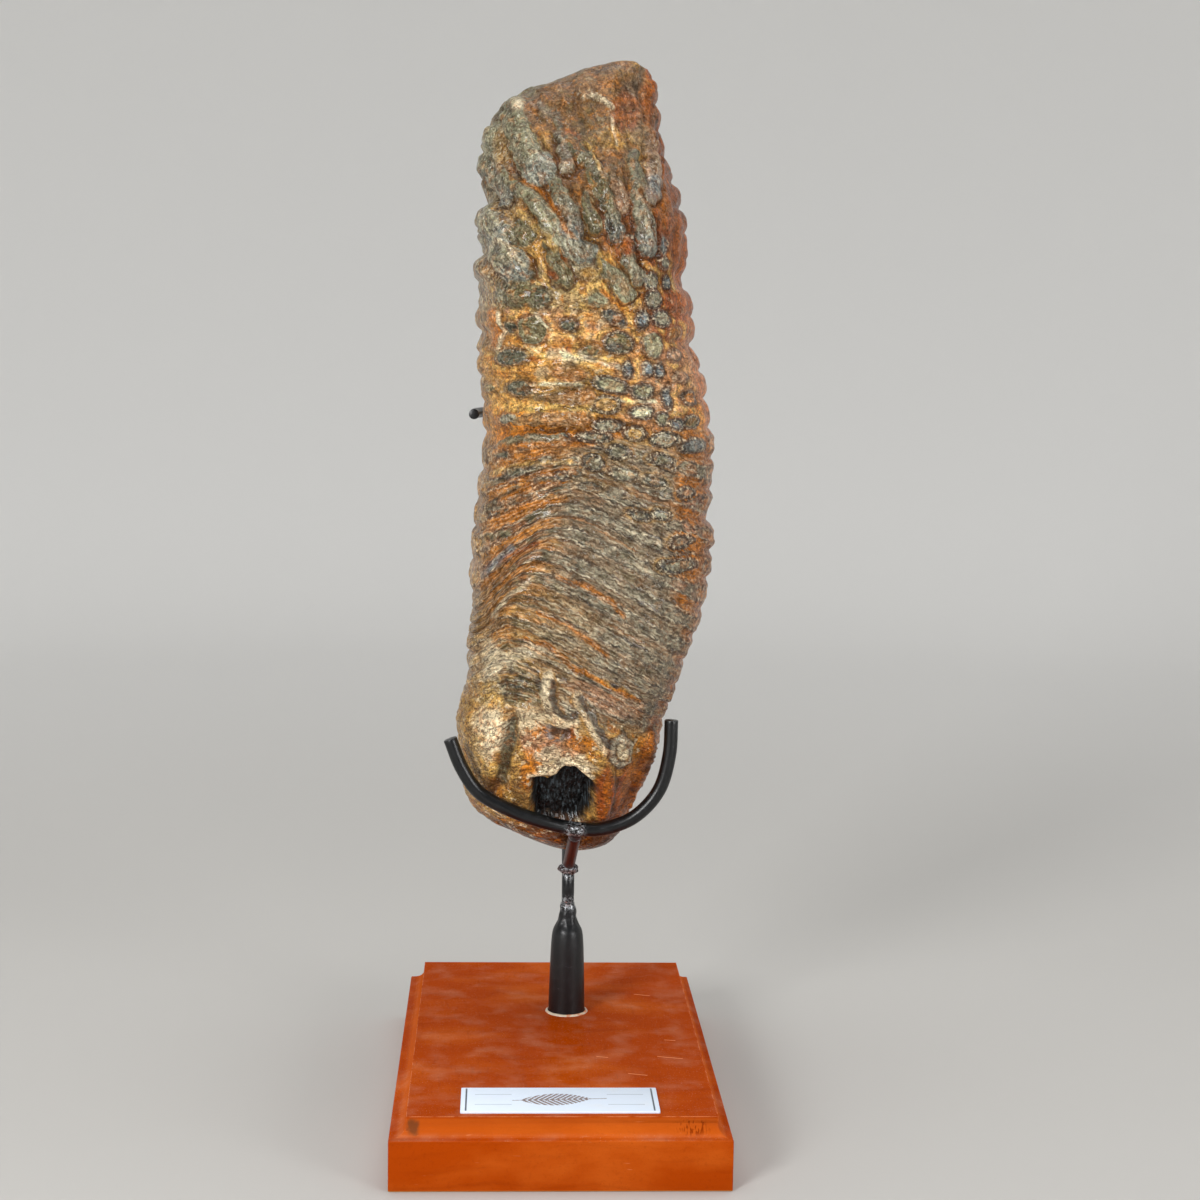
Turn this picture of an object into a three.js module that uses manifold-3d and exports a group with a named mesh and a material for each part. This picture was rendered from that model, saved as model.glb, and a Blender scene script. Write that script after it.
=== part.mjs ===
// A whole cheek tooth of a woolly mammoth, standing on its worn end in a welded steel cradle
// over a moulded wooden plinth. Its chewing face looks to the front.
// Millimetres, +X right, +Y to the back, +Z up, origin at the centre of the plinth's underside.

import * as THREE from 'three';
import Module from 'manifold-3d';
import { mergeVertices } from 'three/addons/utils/BufferGeometryUtils.js';
import { ImprovedNoise } from 'three/addons/math/ImprovedNoise.js';

// Space left between two pieces that touch
const GAP = 0.3;

// Plinth: a block with a cove run round its upper edge, under a small square lip
const PLINTH = { width: 120, depth: 200, height: 25.7, face: 18.3, lip: 2.6 };
const COVE_INSET = { left: 6.0, right: 5.2, front: 4.0, back: 4.0 };
const COVE_STEPS = 5;
const CUT_MARGIN = 1;

// Card on the plinth's top, near the front edge
const LABEL = { width: 70, depth: 25, thickness: 0.8, x: -0.3, y: -80.8 };

// Turned socket that the upright is set in, as [radius, height over the plinth]
const STEM = { x: 5.15, y: 26.5 };
const SOCKET_PROFILE = [
  [7.3, 0], [6.6, 26], [6.35, 30], [5.9, 33.2], [4.6, 35.8], [3.7, 38.4], [3.2, 41.4], [2.7, 44.6],
];
const SOCKET_SIDES = 18;
const GLUE_BEAD = { width: 0.9, height: 0.7 };

// Round steel rod
const HOOP_ROD = 5.3;
const SPINE_ROD = 5.0;
const STRUT_ROD = 4.9;
const ARM_ROD = 4.4;
const ROD_SIDES = 8;

// The open hoop stands across the front, from its left tip to its right tip
const HOOP_ROUTE = [
  [-41.6, -7.4, 142.6], [-37.0, -7.3, 131.2], [-30.5, -7.0, 121.9], [-18.0, -7.5, 114.9], [-5.0, -6.6, 110.2],
  [6.5, -4.7, 107.4], [17.5, -4.5, 107.4], [29.2, -4.5, 112.0], [38.4, -4.5, 122.2], [42.3, -4.5, 136.0],
  [42.9, -4.5, 149.9],
];
// The spine leaves the socket, passes under the tooth and climbs behind it
const SPINE_FOOT = PLINTH.height + SOCKET_PROFILE.at(-1)[1] + GAP;
const SPINE_ROUTE = [
  [5.15, 26.5, SPINE_FOOT], [5.15, 26.6, 80], [5.2, 32, 86.5], [5.4, 44, 91], [6.2, 57, 103],
  [7.0, 65, 124], [8.4, 71, 158], [10.2, 79, 200], [12.2, 84, 236], [13.4, 85.5, 261.5],
];
// The strut runs forward from the spine's bend to the lowest place of the hoop
const STRUT_ROUTE = [[5.2, 27.5, 84.6], [6.5, -3.6, 104.2]];
const WELD = { spine: [5.3, 24.8, 84.4], hoop: [6.5, -5.6, 105.2], radius: 4.0 };
// The arm reaches round the tooth's back, from an angle on its left flank to one on its right
const ARM = { height: 264.2, from: -104, to: -227, places: 9, flankGap: 1.5, backGap: 3.4 };

// Tooth: the smooth form, as [height, place] stations of its left, right, front and back faces
const TOOTH_FOOT = 91.5;
const TOOTH_TOP = 400;
const LEFT_FACE = [
  [91.5, 8], [93, -1], [95, -7], [98, -14], [102, -22], [107, -29.5], [112, -34], [120, -37.5],
  [134, -39], [147, -39.2], [164, -35.4], [200, -35], [227, -33], [256, -29], [285, -31.6],
  [320, -33], [362, -32], [373, -29.5], [381, -25.5], [388, -16.5], [393, -5.5], [397, 5],
  [399, 13], [400, 22],
];
const RIGHT_FACE = [
  [91.5, 8], [93, 17], [95, 21.5], [100, 25.5], [107, 28.7], [116, 33.5], [136, 40], [152, 45],
  [176, 53], [200, 57.5], [220, 58.8], [248, 58.2], [271, 55], [298, 51], [333, 46.5], [356, 42],
  [384, 35.5], [393, 34.5], [397, 32.5], [399, 28], [400, 22],
];
const FRONT_FACE = [
  [91.5, 30], [92.5, 22], [94.2, 18], [96.8, 13.3], [100.8, 7.3], [104.6, 2], [107.5, -1],
  [110.3, -3.6], [118, -9],
  [130, -15], [150, -19], [170, -22], [200, -24.5], [250, -27.5], [300, -29], [330, -27],
  [350, -20], [365, -11], [380, -3], [390, 3.5], [396, 9], [399, 15], [400, 24],
];
const BACK_FACE = [
  [91.5, 30], [93, 36], [96, 41], [101, 46], [110, 52], [125, 58], [150, 64], [180, 71],
  [220, 77], [260, 80], [300, 79], [330, 75], [350, 69], [365, 62], [380, 54], [390, 47.5],
  [396, 41], [399, 33.5], [400, 24],
];
const END_ROUNDING = 0.01;
const ANGLE_STEP = 0.02;
// How square the cross-section is, from 2 for an ellipse
const SQUARENESS = [
  [91.5, 2.0], [118, 2.05], [142, 2.5], [200, 3.0], [300, 2.7], [380, 2.4], [400, 2.0],
];

// Enamel plates: crest height of plate 0, spacing below it and above it, and the plates' numbers
const PLATES = { crest: 301, pitchBelow: 8.6, pitchAbove: 9.7, last: 17, first: -9 };
// The plates' arch over the chewing face: side slopes and crest place by height
const ARCH_LEFT = [
  [91.5, 0], [115, 0.1], [140, 0.4], [165, 1], [190, 1.4], [214, 1.3], [236, 0.6], [250, 0.55],
  [264, 0.15], [277, 0], [400, 0],
];
const ARCH_RIGHT = [
  [91.5, 0], [115, 0.1], [140, 0.25], [165, 0.45], [214, 0.5], [236, 0.47], [250, 0.35],
  [264, 0.25], [277, 0.17], [310, 0.05], [340, 0], [400, 0],
];
const ARCH_CREST = [
  [91.5, 0], [140, -10], [165, -20], [190, -20], [199, -15.5], [214, -9], [238, 2], [250, 0],
  [400, 0],
];
const ARCH_ROUNDING = 9.2;

// Height of the plates' ribs, from groove to crest, by height: on the flanks and on the front
const RIB_FLANK = [[91.5, 0], [130, 0.4], [160, 1.6], [300, 2.2], [350, 3], [385, 2], [400, 0]];
const RIB_FRONT = [
  [91.5, 0], [150, 0.3], [175, 0.8], [240, 1], [262, 1.8], [300, 1.4], [320, 0.4], [400, 0],
];

// Raised columns and lumps on the front, each a route of [x, height] with its width and rise
const FINGERS = [
  { route: [[-22, 377], [-25, 367], [-21, 352], [-12, 345], [-2, 332], [9, 323]], width: 5, rise: 3.4 },
  { route: [[-24, 373], [-18.5, 363], [-11.8, 354], [-7, 348]], width: 5, rise: 2.6 },
  { route: [[-6, 362], [-2.5, 350], [4.9, 333]], width: 4, rise: 2.6 },
  { route: [[0.5, 367], [4.6, 357.5], [10.8, 344.5], [16.2, 333.5]], width: 4.2, rise: 2.8 },
  { route: [[8.5, 375], [12, 360], [18.4, 335]], width: 4.2, rise: 2.4 },
  { route: [[25, 364], [25.5, 345], [29.3, 326]], width: 4.6, rise: 3.2 },
  { route: [[33.4, 376], [32.8, 361], [32.5, 348.5]], width: 4.4, rise: 2.6 },
  { route: [[-0.8, 331], [9, 323]], width: 4.4, rise: 1.8 },
  { route: [[13.7, 328], [20, 317.5], [25, 309]], width: 4.2, rise: 2 },
  { route: [[-32, 344], [-24.5, 332]], width: 7.5, rise: 3.8 },
  { route: [[-30, 330], [-15, 313.5]], width: 7.5, rise: 3.4 },
  { route: [[-9.8, 328], [-4.3, 317]], width: 5, rise: 2 },
  { route: [[36, 335], [39, 325.5]], width: 4.4, rise: 2 },
  { route: [[31, 317], [33.6, 310]], width: 4, rise: 1.8 },
  { route: [[-14, 297], [-6.5, 295]], width: 6.5, rise: 1.8 },
  { route: [[-24, 287], [-16, 287]], width: 4.5, rise: 1.6 },
  { route: [[-4.5, 282], [5.5, 282]], width: 4, rise: 1.2 },
  { route: [[-4.5, 273], [5.5, 273]], width: 4, rise: 1.4 },
  { route: [[14, 293], [22, 293]], width: 5, rise: 1.8 },
  { route: [[29, 292.5], [34, 292.5]], width: 4, rise: 1.6 },
  { route: [[12, 277.5], [21, 277]], width: 3.8, rise: 1.4 },
  { route: [[12, 271], [18, 271]], width: 3.2, rise: 1.2 },
  { route: [[26, 267.5], [30, 267.5]], width: 3.8, rise: 1.2 },
];

// Low end of the tooth: a broken hollow, the root ridges beside it and a furrow to the left
const HOLLOW = { x: 2, height: 121, halfWidth: 12.5, halfHeight: 11.5, depth: 7, wall: 2.5 };
const ROOT_FORMS = [
  { route: [[13, 137], [16.2, 130], [17.7, 121.5], [16, 113.5]], width: 4, rise: 2.6 },
  { route: [[24.5, 139], [24.7, 138]], width: 6, rise: 1.6 },
  { route: [[36.8, 142], [34.5, 131.5], [31.9, 121]], width: 3, rise: 1.4 },
  { route: [[-18.5, 152], [-19.6, 143.5], [-22.5, 133], [-23.6, 124]], width: 4, rise: -2.2 },
];

// Root side: a long furrow down the middle of the back, with swellings on both sides of it
const FURROW = { depth: 5, halfWidth: 12, low: 120, high: 345 };
const SWELLING = { rise: 1.9, length: 36 };

// Unevenness of the whole tooth, as rise and spacing
const BROAD_LUMPS = { rise: 1.3, spacing: 26 };
const SMALL_LUMPS = { rise: 0.6, spacing: 9 };

// Mesh of the tooth: columns over the front face, each flank and the back, and rows
const FACE_ANGLE = 42;
const FLANK_ANGLE = 95;
const COLUMNS = { face: 17, flank: 6, back: 12 };
const FOOT_ROWS = 11;
const CROWN_ROWS = [395.4, 397.6, 399.2];
const PLATE_ROWS = [0.5, 0.17, -0.17];

const wood = new THREE.MeshStandardMaterial({ color: 0xb5531c, roughness: 0.35, metalness: 0 });
const card = new THREE.MeshStandardMaterial({ color: 0xe8ebee, roughness: 0.6, metalness: 0 });
const glue = new THREE.MeshStandardMaterial({ color: 0xc9b59a, roughness: 0.4, metalness: 0 });
const blackPaint = new THREE.MeshStandardMaterial({ color: 0x17181a, roughness: 0.4, metalness: 0.3 });
const fossil = new THREE.MeshStandardMaterial({ color: 0xa9763f, roughness: 0.35, metalness: 0 });

const wasm = await Module();
wasm.setup();
const noise = new ImprovedNoise();

// Closed triangle mesh of a solid, with shared vertices merged
function toSolid(geometry) {
  const plain = geometry.clone();
  plain.deleteAttribute('normal');
  plain.deleteAttribute('uv');
  const merged = mergeVertices(plain);
  const vertProperties = Float32Array.from(merged.attributes.position.array);
  const triVerts = Uint32Array.from(merged.index.array);
  return new wasm.Manifold(new wasm.Mesh({ numProp: 3, vertProperties, triVerts }));
}

function toGeometry(solid) {
  const { vertProperties, triVerts } = solid.getMesh();
  const geometry = new THREE.BufferGeometry();
  geometry.setAttribute('position', new THREE.BufferAttribute(vertProperties, 3));
  geometry.setIndex(new THREE.BufferAttribute(triVerts, 1));
  geometry.computeVertexNormals();
  return geometry;
}

// Six times the volume that an indexed mesh encloses, negative where its faces point inwards
function signedVolume(geometry) {
  const corner = [new THREE.Vector3(), new THREE.Vector3(), new THREE.Vector3()];
  let total = 0;
  for (let start = 0; start < geometry.index.count; start += 3) {
    corner.forEach((vertex, offset) => {
      vertex.fromBufferAttribute(geometry.attributes.position, geometry.index.getX(start + offset));
    });
    total += corner[0].dot(corner[1].clone().cross(corner[2]));
  }
  return total;
}

// The same mesh with its faces pointing out
function facingOut(geometry) {
  if (signedVolume(geometry) < 0) {
    const { array } = geometry.index;
    for (let start = 0; start < array.length; start += 3) {
      [array[start], array[start + 1]] = [array[start + 1], array[start]];
    }
  }
  return geometry;
}

// Monotone cubic curve through [place, value] stations
function throughStations(stations) {
  const steps = stations.slice(1).map(([place], index) => place - stations[index][0]);
  const rises = stations.slice(1).map(([, value], index) => (value - stations[index][1]) / steps[index]);
  const slopes = stations.map((station, index) => {
    if (index === 0) return rises[0];
    if (index === rises.length) return rises[index - 1];
    const [before, after] = [rises[index - 1], rises[index]];
    return before * after <= 0 ? 0 : 2 * before * after / (before + after);
  });
  return (place) => {
    const inside = THREE.MathUtils.clamp(place, stations[0][0], stations.at(-1)[0]);
    let index = 0;
    while (index < steps.length - 1 && inside > stations[index + 1][0]) index += 1;
    const t = (inside - stations[index][0]) / steps[index];
    const [low, high] = [stations[index][1], stations[index + 1][1]];
    return low * (1 + 2 * t) * (1 - t) ** 2 + high * t * t * (3 - 2 * t)
      + steps[index] * (slopes[index] * t * (1 - t) ** 2 - slopes[index + 1] * t * t * (1 - t));
  };
}

// Round rod along a smooth route of [x, y, z] places
function rodGeometry(route, diameter, steps) {
  const section = new THREE.Shape();
  section.absarc(0, 0, diameter / 2, 0, 2 * Math.PI);
  const places = route.map(([x, y, z]) => new THREE.Vector3(x, y, z));
  const extrudePath = new THREE.CatmullRomCurve3(places, false, 'centripetal');
  return new THREE.ExtrudeGeometry(section, { curveSegments: ROD_SIDES / 2, steps, extrudePath });
}

// Profile of what the router takes off one edge, x inwards and y up from the plinth's underside
function coveProfile(inset) {
  const shoulder = PLINTH.height - PLINTH.lip;
  const profile = new THREE.Shape();
  profile.moveTo(-CUT_MARGIN, PLINTH.face);
  profile.lineTo(0, PLINTH.face);
  profile.absellipse(0, shoulder, inset, shoulder - PLINTH.face, -Math.PI / 2, 0, false);
  profile.lineTo(inset, PLINTH.height + CUT_MARGIN);
  profile.lineTo(-CUT_MARGIN, PLINTH.height + CUT_MARGIN);
  return profile;
}

// Cutter along one edge: inwards is the direction from that edge to the plinth's middle
function coveCutter(inset, inwards, edgeDistance, length) {
  const up = new THREE.Vector3(0, 0, 1);
  const along = inwards.clone().cross(up);
  const options = { curveSegments: COVE_STEPS, depth: length + 2 * CUT_MARGIN, bevelEnabled: false };
  const cutter = new THREE.ExtrudeGeometry(coveProfile(inset), options);
  cutter.applyMatrix4(new THREE.Matrix4().makeBasis(inwards, up, along));
  const start = inwards.clone().multiplyScalar(-edgeDistance);
  start.addScaledVector(along, -length / 2 - CUT_MARGIN);
  cutter.translate(start.x, start.y, start.z);
  return toSolid(cutter);
}

function plinthGeometry() {
  const { width, depth, height } = PLINTH;
  const block = new THREE.BoxGeometry(width, depth, height).translate(0, 0, height / 2);
  const edges = [
    [COVE_INSET.left, new THREE.Vector3(1, 0, 0), width / 2, depth],
    [COVE_INSET.right, new THREE.Vector3(-1, 0, 0), width / 2, depth],
    [COVE_INSET.front, new THREE.Vector3(0, 1, 0), depth / 2, width],
    [COVE_INSET.back, new THREE.Vector3(0, -1, 0), depth / 2, width],
  ];
  return toGeometry(edges.reduce((solid, edge) => solid.subtract(coveCutter(...edge)), toSolid(block)));
}

function labelGeometry() {
  const { width, depth, thickness, x, y } = LABEL;
  return new THREE.BoxGeometry(width, depth, thickness).translate(x, y, PLINTH.height + thickness / 2);
}

// Solid of revolution about the upright, from [radius, height over the plinth] points
function turnedOnStem(profile) {
  const points = profile.map(([radius, height]) => new THREE.Vector2(radius, height));
  const turned = new THREE.LatheGeometry(points, SOCKET_SIDES).rotateX(Math.PI / 2);
  turned.deleteAttribute('normal');
  turned.deleteAttribute('uv');
  return facingOut(mergeVertices(turned)).translate(STEM.x, STEM.y, PLINTH.height);
}

function socketGeometry() {
  const [, top] = SOCKET_PROFILE.at(-1);
  return turnedOnStem([[0, 0], ...SOCKET_PROFILE, [0, top]]);
}

function glueBeadGeometry() {
  const inner = SOCKET_PROFILE[0][0] + GAP;
  const { width, height } = GLUE_BEAD;
  const crown = [[inner + width / 2, height], [inner, height]];
  return turnedOnStem([[inner, 0], [inner + width, 0], ...crown, [inner, 0]]);
}

// The strut with the weld at each end, cut clear of the spine and the hoop
function strutGeometry() {
  const bead = ([x, y, z]) => toSolid(new THREE.IcosahedronGeometry(WELD.radius, 1).translate(x, y, z));
  const spine = rodGeometry(SPINE_ROUTE, SPINE_ROD + 2 * GAP, 24);
  const hoop = rodGeometry(HOOP_ROUTE, HOOP_ROD + 2 * GAP, 28);
  return toGeometry(toSolid(rodGeometry(STRUT_ROUTE, STRUT_ROD, 2))
    .add(bead(WELD.spine))
    .add(bead(WELD.hoop))
    .subtract(toSolid(spine))
    .subtract(toSolid(hoop)));
}

const leftFace = throughStations(LEFT_FACE);
const rightFace = throughStations(RIGHT_FACE);
const frontFace = throughStations(FRONT_FACE);
const backFace = throughStations(BACK_FACE);
const squareness = throughStations(SQUARENESS);
const archLeft = throughStations(ARCH_LEFT);
const archRight = throughStations(ARCH_RIGHT);
const archCrest = throughStations(ARCH_CREST);
const ribFlank = throughStations(RIB_FLANK);
const ribFront = throughStations(RIB_FRONT);

// Place on the smooth form at one height and at one angle from the front, in radians to the right
function smoothPlace(height, angle) {
  const [left, right, front, back] = [leftFace, rightFace, frontFace, backFace].map((face) => face(height));
  const power = squareness(height);
  const [across, along] = [Math.sin(angle), -Math.cos(angle)];
  const [halfWidth, halfDepth] = [(right - left) / 2 + END_ROUNDING, (back - front) / 2 + END_ROUNDING];
  const reach = ((Math.abs(across) / halfWidth) ** power
    + (Math.abs(along) / halfDepth) ** power) ** (-1 / power);
  return new THREE.Vector3((left + right) / 2 + reach * across, (front + back) / 2 + reach * along, height);
}

// How far a plate's line has dropped from its crest, at a place across the chewing face
function archDrop(x, crestHeight) {
  const offset = x - archCrest(crestHeight);
  const slope = offset < 0 ? archLeft(crestHeight) : archRight(crestHeight);
  return slope * (Math.hypot(offset, ARCH_ROUNDING) - ARCH_ROUNDING);
}

// Place on the smooth form on a plate's line: arched on the front, a plain slant on the back
function archedPlace(crestHeight, angle) {
  const level = smoothPlace(crestHeight, angle);
  const [left, right] = [leftFace(crestHeight), rightFace(crestHeight)];
  const share = (level.x - left) / (right - left + END_ROUNDING);
  const slant = THREE.MathUtils.lerp(archDrop(left, crestHeight), archDrop(right, crestHeight), share);
  const backness = THREE.MathUtils.smoothstep(1 - Math.cos(angle), 0.6, 1.8);
  const drop = THREE.MathUtils.lerp(archDrop(level.x, crestHeight), slant, backness);
  return smoothPlace(Math.max(crestHeight - drop, TOOTH_FOOT), angle);
}

function plateNumber(crestHeight) {
  const below = PLATES.crest - crestHeight;
  return below / (below > 0 ? PLATES.pitchBelow : PLATES.pitchAbove);
}

function crestHeightOf(plate) {
  return PLATES.crest - plate * (plate > 0 ? PLATES.pitchBelow : PLATES.pitchAbove);
}

// Rib of one plate: a rounded crest between narrow grooves, sinking over the front and the back
function ribRise(place, crestHeight, angle) {
  const fraction = plateNumber(crestHeight) - Math.round(plateNumber(crestHeight));
  const shape = 1 - Math.abs(2 * fraction) ** 3;
  const frontness = Math.cos(angle);
  const flank = ribFlank(crestHeight) * (1 - THREE.MathUtils.smoothstep(-frontness, 0.3, 0.95));
  const toFront = THREE.MathUtils.smoothstep(frontness, 0.35, 0.8);
  const height = THREE.MathUtils.lerp(flank, ribFront(crestHeight), toFront);
  return height * (shape - 0.6);
}

// Distance on the front from a place to a route of [x, height] points
function distanceToRoute(x, height, route) {
  let nearest = Infinity;
  for (let index = 1; index < route.length; index += 1) {
    const [x0, z0] = route[index - 1];
    const [runX, runZ] = [route[index][0] - x0, route[index][1] - z0];
    const along = ((x - x0) * runX + (height - z0) * runZ) / (runX * runX + runZ * runZ);
    const share = THREE.MathUtils.clamp(along, 0, 1);
    nearest = Math.min(nearest, Math.hypot(x - x0 - share * runX, height - z0 - share * runZ));
  }
  return nearest;
}

function formRise(place, { route, width, rise }) {
  const share = distanceToRoute(place.x, place.z, route) / width;
  return share < 1 ? rise * (1 - share ** 2) ** 0.8 : 0;
}

// Fingers, lumps and the broken hollow of the front face
function frontRise(place) {
  const raised = FINGERS.map((form) => formRise(place, form));
  const root = ROOT_FORMS.reduce((total, form) => total + formRise(place, form), 0);
  const across = Math.abs((place.x - HOLLOW.x) / HOLLOW.halfWidth);
  const upward = Math.abs((place.z - HOLLOW.height) / HOLLOW.halfHeight);
  const inset = (1 - (across ** 4 + upward ** 4) ** 0.25) * HOLLOW.halfWidth;
  return Math.max(0, ...raised) + root - HOLLOW.depth * THREE.MathUtils.smoothstep(inset, 0, HOLLOW.wall);
}

// Furrow and swellings of the root side
function rootSideRise(place) {
  const across = (place.x - (leftFace(place.z) + rightFace(place.z)) / 2) / FURROW.halfWidth;
  const reach = THREE.MathUtils.smoothstep(place.z, FURROW.low, FURROW.low + 40)
    * (1 - THREE.MathUtils.smoothstep(place.z, FURROW.high - 40, FURROW.high));
  const swelling = SWELLING.rise * Math.sin(2 * Math.PI * place.z / SWELLING.length + Math.sign(across));
  return reach * (swelling * Math.min(1, Math.abs(across)) - FURROW.depth * Math.exp(-across * across));
}

// The arm keeps an even distance from the tooth's smooth form
function armRoute() {
  return Array.from({ length: ARM.places }, (unused, index) => {
    const angle = THREE.MathUtils.degToRad(ARM.from + (ARM.to - ARM.from) * index / (ARM.places - 1));
    const before = smoothPlace(ARM.height, angle - ANGLE_STEP);
    const tangent = smoothPlace(ARM.height, angle + ANGLE_STEP).sub(before);
    const aside = new THREE.Vector3(tangent.y, -tangent.x, 0).normalize();
    const gap = THREE.MathUtils.lerp(ARM.flankGap, ARM.backGap, Math.max(0, -Math.cos(angle)) ** 0.5);
    return smoothPlace(ARM.height, angle).addScaledVector(aside, ARM_ROD / 2 + gap).toArray();
  });
}

function unevenness(place, { rise, spacing }) {
  return rise * noise.noise(place.x / spacing, place.y / spacing, place.z / spacing);
}

// Outward direction of the smooth form in its cross-section, leaning to the ends near them
function outward(crestHeight, angle) {
  const before = archedPlace(crestHeight, angle - ANGLE_STEP);
  const round = archedPlace(crestHeight, angle + ANGLE_STEP).sub(before);
  const lower = Math.max(crestHeight - 1, TOOTH_FOOT);
  const climb = archedPlace(Math.min(crestHeight + 1, TOOTH_TOP), angle).sub(archedPlace(lower, angle));
  return round.cross(climb).normalize();
}

function toothPlace(crestHeight, angle) {
  const place = archedPlace(crestHeight, angle);
  const frontness = THREE.MathUtils.smoothstep(Math.cos(angle), 0, 0.45);
  const rootness = THREE.MathUtils.smoothstep(-Math.cos(angle), 0.2, 0.8);
  const rise = ribRise(place, crestHeight, angle) + frontness * frontRise(place)
    + rootness * rootSideRise(place) + unevenness(place, BROAD_LUMPS) + unevenness(place, SMALL_LUMPS);
  const endFade = THREE.MathUtils.smoothstep(crestHeight, TOOTH_FOOT, TOOTH_FOOT + 14)
    * (1 - 0.7 * THREE.MathUtils.smoothstep(crestHeight, TOOTH_TOP - 10, TOOTH_TOP));
  return place.addScaledVector(outward(crestHeight, angle), rise * endFade);
}

// Angles of the mesh's columns, close over the chewing face and wide on the back
function columnAngles() {
  const stretch = (from, to, count) => Array.from({ length: count }, (unused, step) => {
    return from + (to - from) * step / count;
  });
  return [
    ...stretch(-FACE_ANGLE, FACE_ANGLE, COLUMNS.face),
    ...stretch(FACE_ANGLE, FLANK_ANGLE, COLUMNS.flank),
    ...stretch(FLANK_ANGLE, 360 - FLANK_ANGLE, COLUMNS.back),
    ...stretch(360 - FLANK_ANGLE, 360 - FACE_ANGLE, COLUMNS.flank),
  ].map(THREE.MathUtils.degToRad);
}

// Crest heights of the mesh's rows: three to each plate, with one of them in its groove
function rowHeights() {
  const lowest = crestHeightOf(PLATES.last + PLATE_ROWS[0]);
  const foot = Array.from({ length: FOOT_ROWS }, (unused, step) => {
    return TOOTH_FOOT + (lowest - TOOTH_FOOT) * ((step + 1) / (FOOT_ROWS + 1)) ** 1.5;
  });
  const plates = [];
  for (let plate = PLATES.last; plate >= PLATES.first; plate -= 1) {
    plates.push(...PLATE_ROWS.map((fraction) => crestHeightOf(plate + fraction)));
  }
  return [...foot, ...plates, ...CROWN_ROWS];
}

function toothGeometry() {
  const angles = columnAngles();
  const heights = rowHeights();
  const places = [smoothPlace(TOOTH_FOOT, 0), smoothPlace(TOOTH_TOP, 0)];
  heights.forEach((height) => angles.forEach((angle) => places.push(toothPlace(height, angle))));
  const vertex = (row, column) => 2 + row * angles.length + column % angles.length;
  const faces = [];
  angles.forEach((unused, column) => {
    faces.push(0, vertex(0, column + 1), vertex(0, column));
    faces.push(1, vertex(heights.length - 1, column), vertex(heights.length - 1, column + 1));
    for (let row = 1; row < heights.length; row += 1) {
      const [low, lowNext] = [vertex(row - 1, column), vertex(row - 1, column + 1)];
      const [high, highNext] = [vertex(row, column), vertex(row, column + 1)];
      faces.push(low, lowNext, highNext, low, highNext, high);
    }
  });
  const geometry = new THREE.BufferGeometry().setFromPoints(places);
  geometry.setIndex(faces);
  geometry.computeVertexNormals();
  return facingOut(geometry);
}

function piece(name, geometry, material) {
  const mesh = new THREE.Mesh(geometry, material);
  mesh.name = name;
  return mesh;
}

const group = new THREE.Group();
group.add(
  piece('base_plinth', plinthGeometry(), wood),
  piece('label_plate', labelGeometry(), card),
  piece('foot_glue_bead', glueBeadGeometry(), glue),
  piece('stem_socket', socketGeometry(), blackPaint),
  piece('spine_rod', rodGeometry(SPINE_ROUTE, SPINE_ROD, 24), blackPaint),
  piece('cradle_strut', strutGeometry(), blackPaint),
  piece('cradle_hoop', rodGeometry(HOOP_ROUTE, HOOP_ROD, 28), blackPaint),
  piece('back_arm', rodGeometry(armRoute(), ARM_ROD, 20), blackPaint),
  piece('molar', toothGeometry(), fossil),
);

export default group;
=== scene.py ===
"""A whole cheek tooth of a woolly mammoth in a welded steel cradle over a moulded wooden plinth.

Lengths are millimetres, X to the right, Y to the back and Z up, and become metres as each piece is finished.
"""
import sys
import logging
import math
from collections.abc import Callable, Iterable, Sequence
from dataclasses import dataclass, field
from enum import Enum

import bmesh
import bpy
import numpy as np
from mathutils import Matrix, Vector, noise


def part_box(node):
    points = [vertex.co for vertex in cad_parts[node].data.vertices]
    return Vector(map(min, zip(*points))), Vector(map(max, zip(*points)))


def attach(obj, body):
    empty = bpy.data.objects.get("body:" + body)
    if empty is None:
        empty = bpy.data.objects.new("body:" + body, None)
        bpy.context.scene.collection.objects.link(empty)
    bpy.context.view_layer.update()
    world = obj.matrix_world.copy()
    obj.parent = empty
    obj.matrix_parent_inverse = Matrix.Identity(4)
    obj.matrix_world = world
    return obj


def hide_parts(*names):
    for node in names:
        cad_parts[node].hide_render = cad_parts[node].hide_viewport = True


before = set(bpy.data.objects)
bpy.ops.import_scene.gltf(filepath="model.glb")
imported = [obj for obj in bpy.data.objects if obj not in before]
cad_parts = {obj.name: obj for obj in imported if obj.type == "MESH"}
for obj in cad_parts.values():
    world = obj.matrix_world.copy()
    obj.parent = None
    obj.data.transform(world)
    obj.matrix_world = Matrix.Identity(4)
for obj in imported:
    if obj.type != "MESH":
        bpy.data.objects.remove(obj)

LOG = logging.getLogger("molar_on_stand")
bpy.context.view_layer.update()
MM = 0.001
Number = float | np.ndarray
Place = tuple[float, float, float]
Span = tuple[float, float]
ORIGIN = (0.0, 0.0, 0.0)


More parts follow.
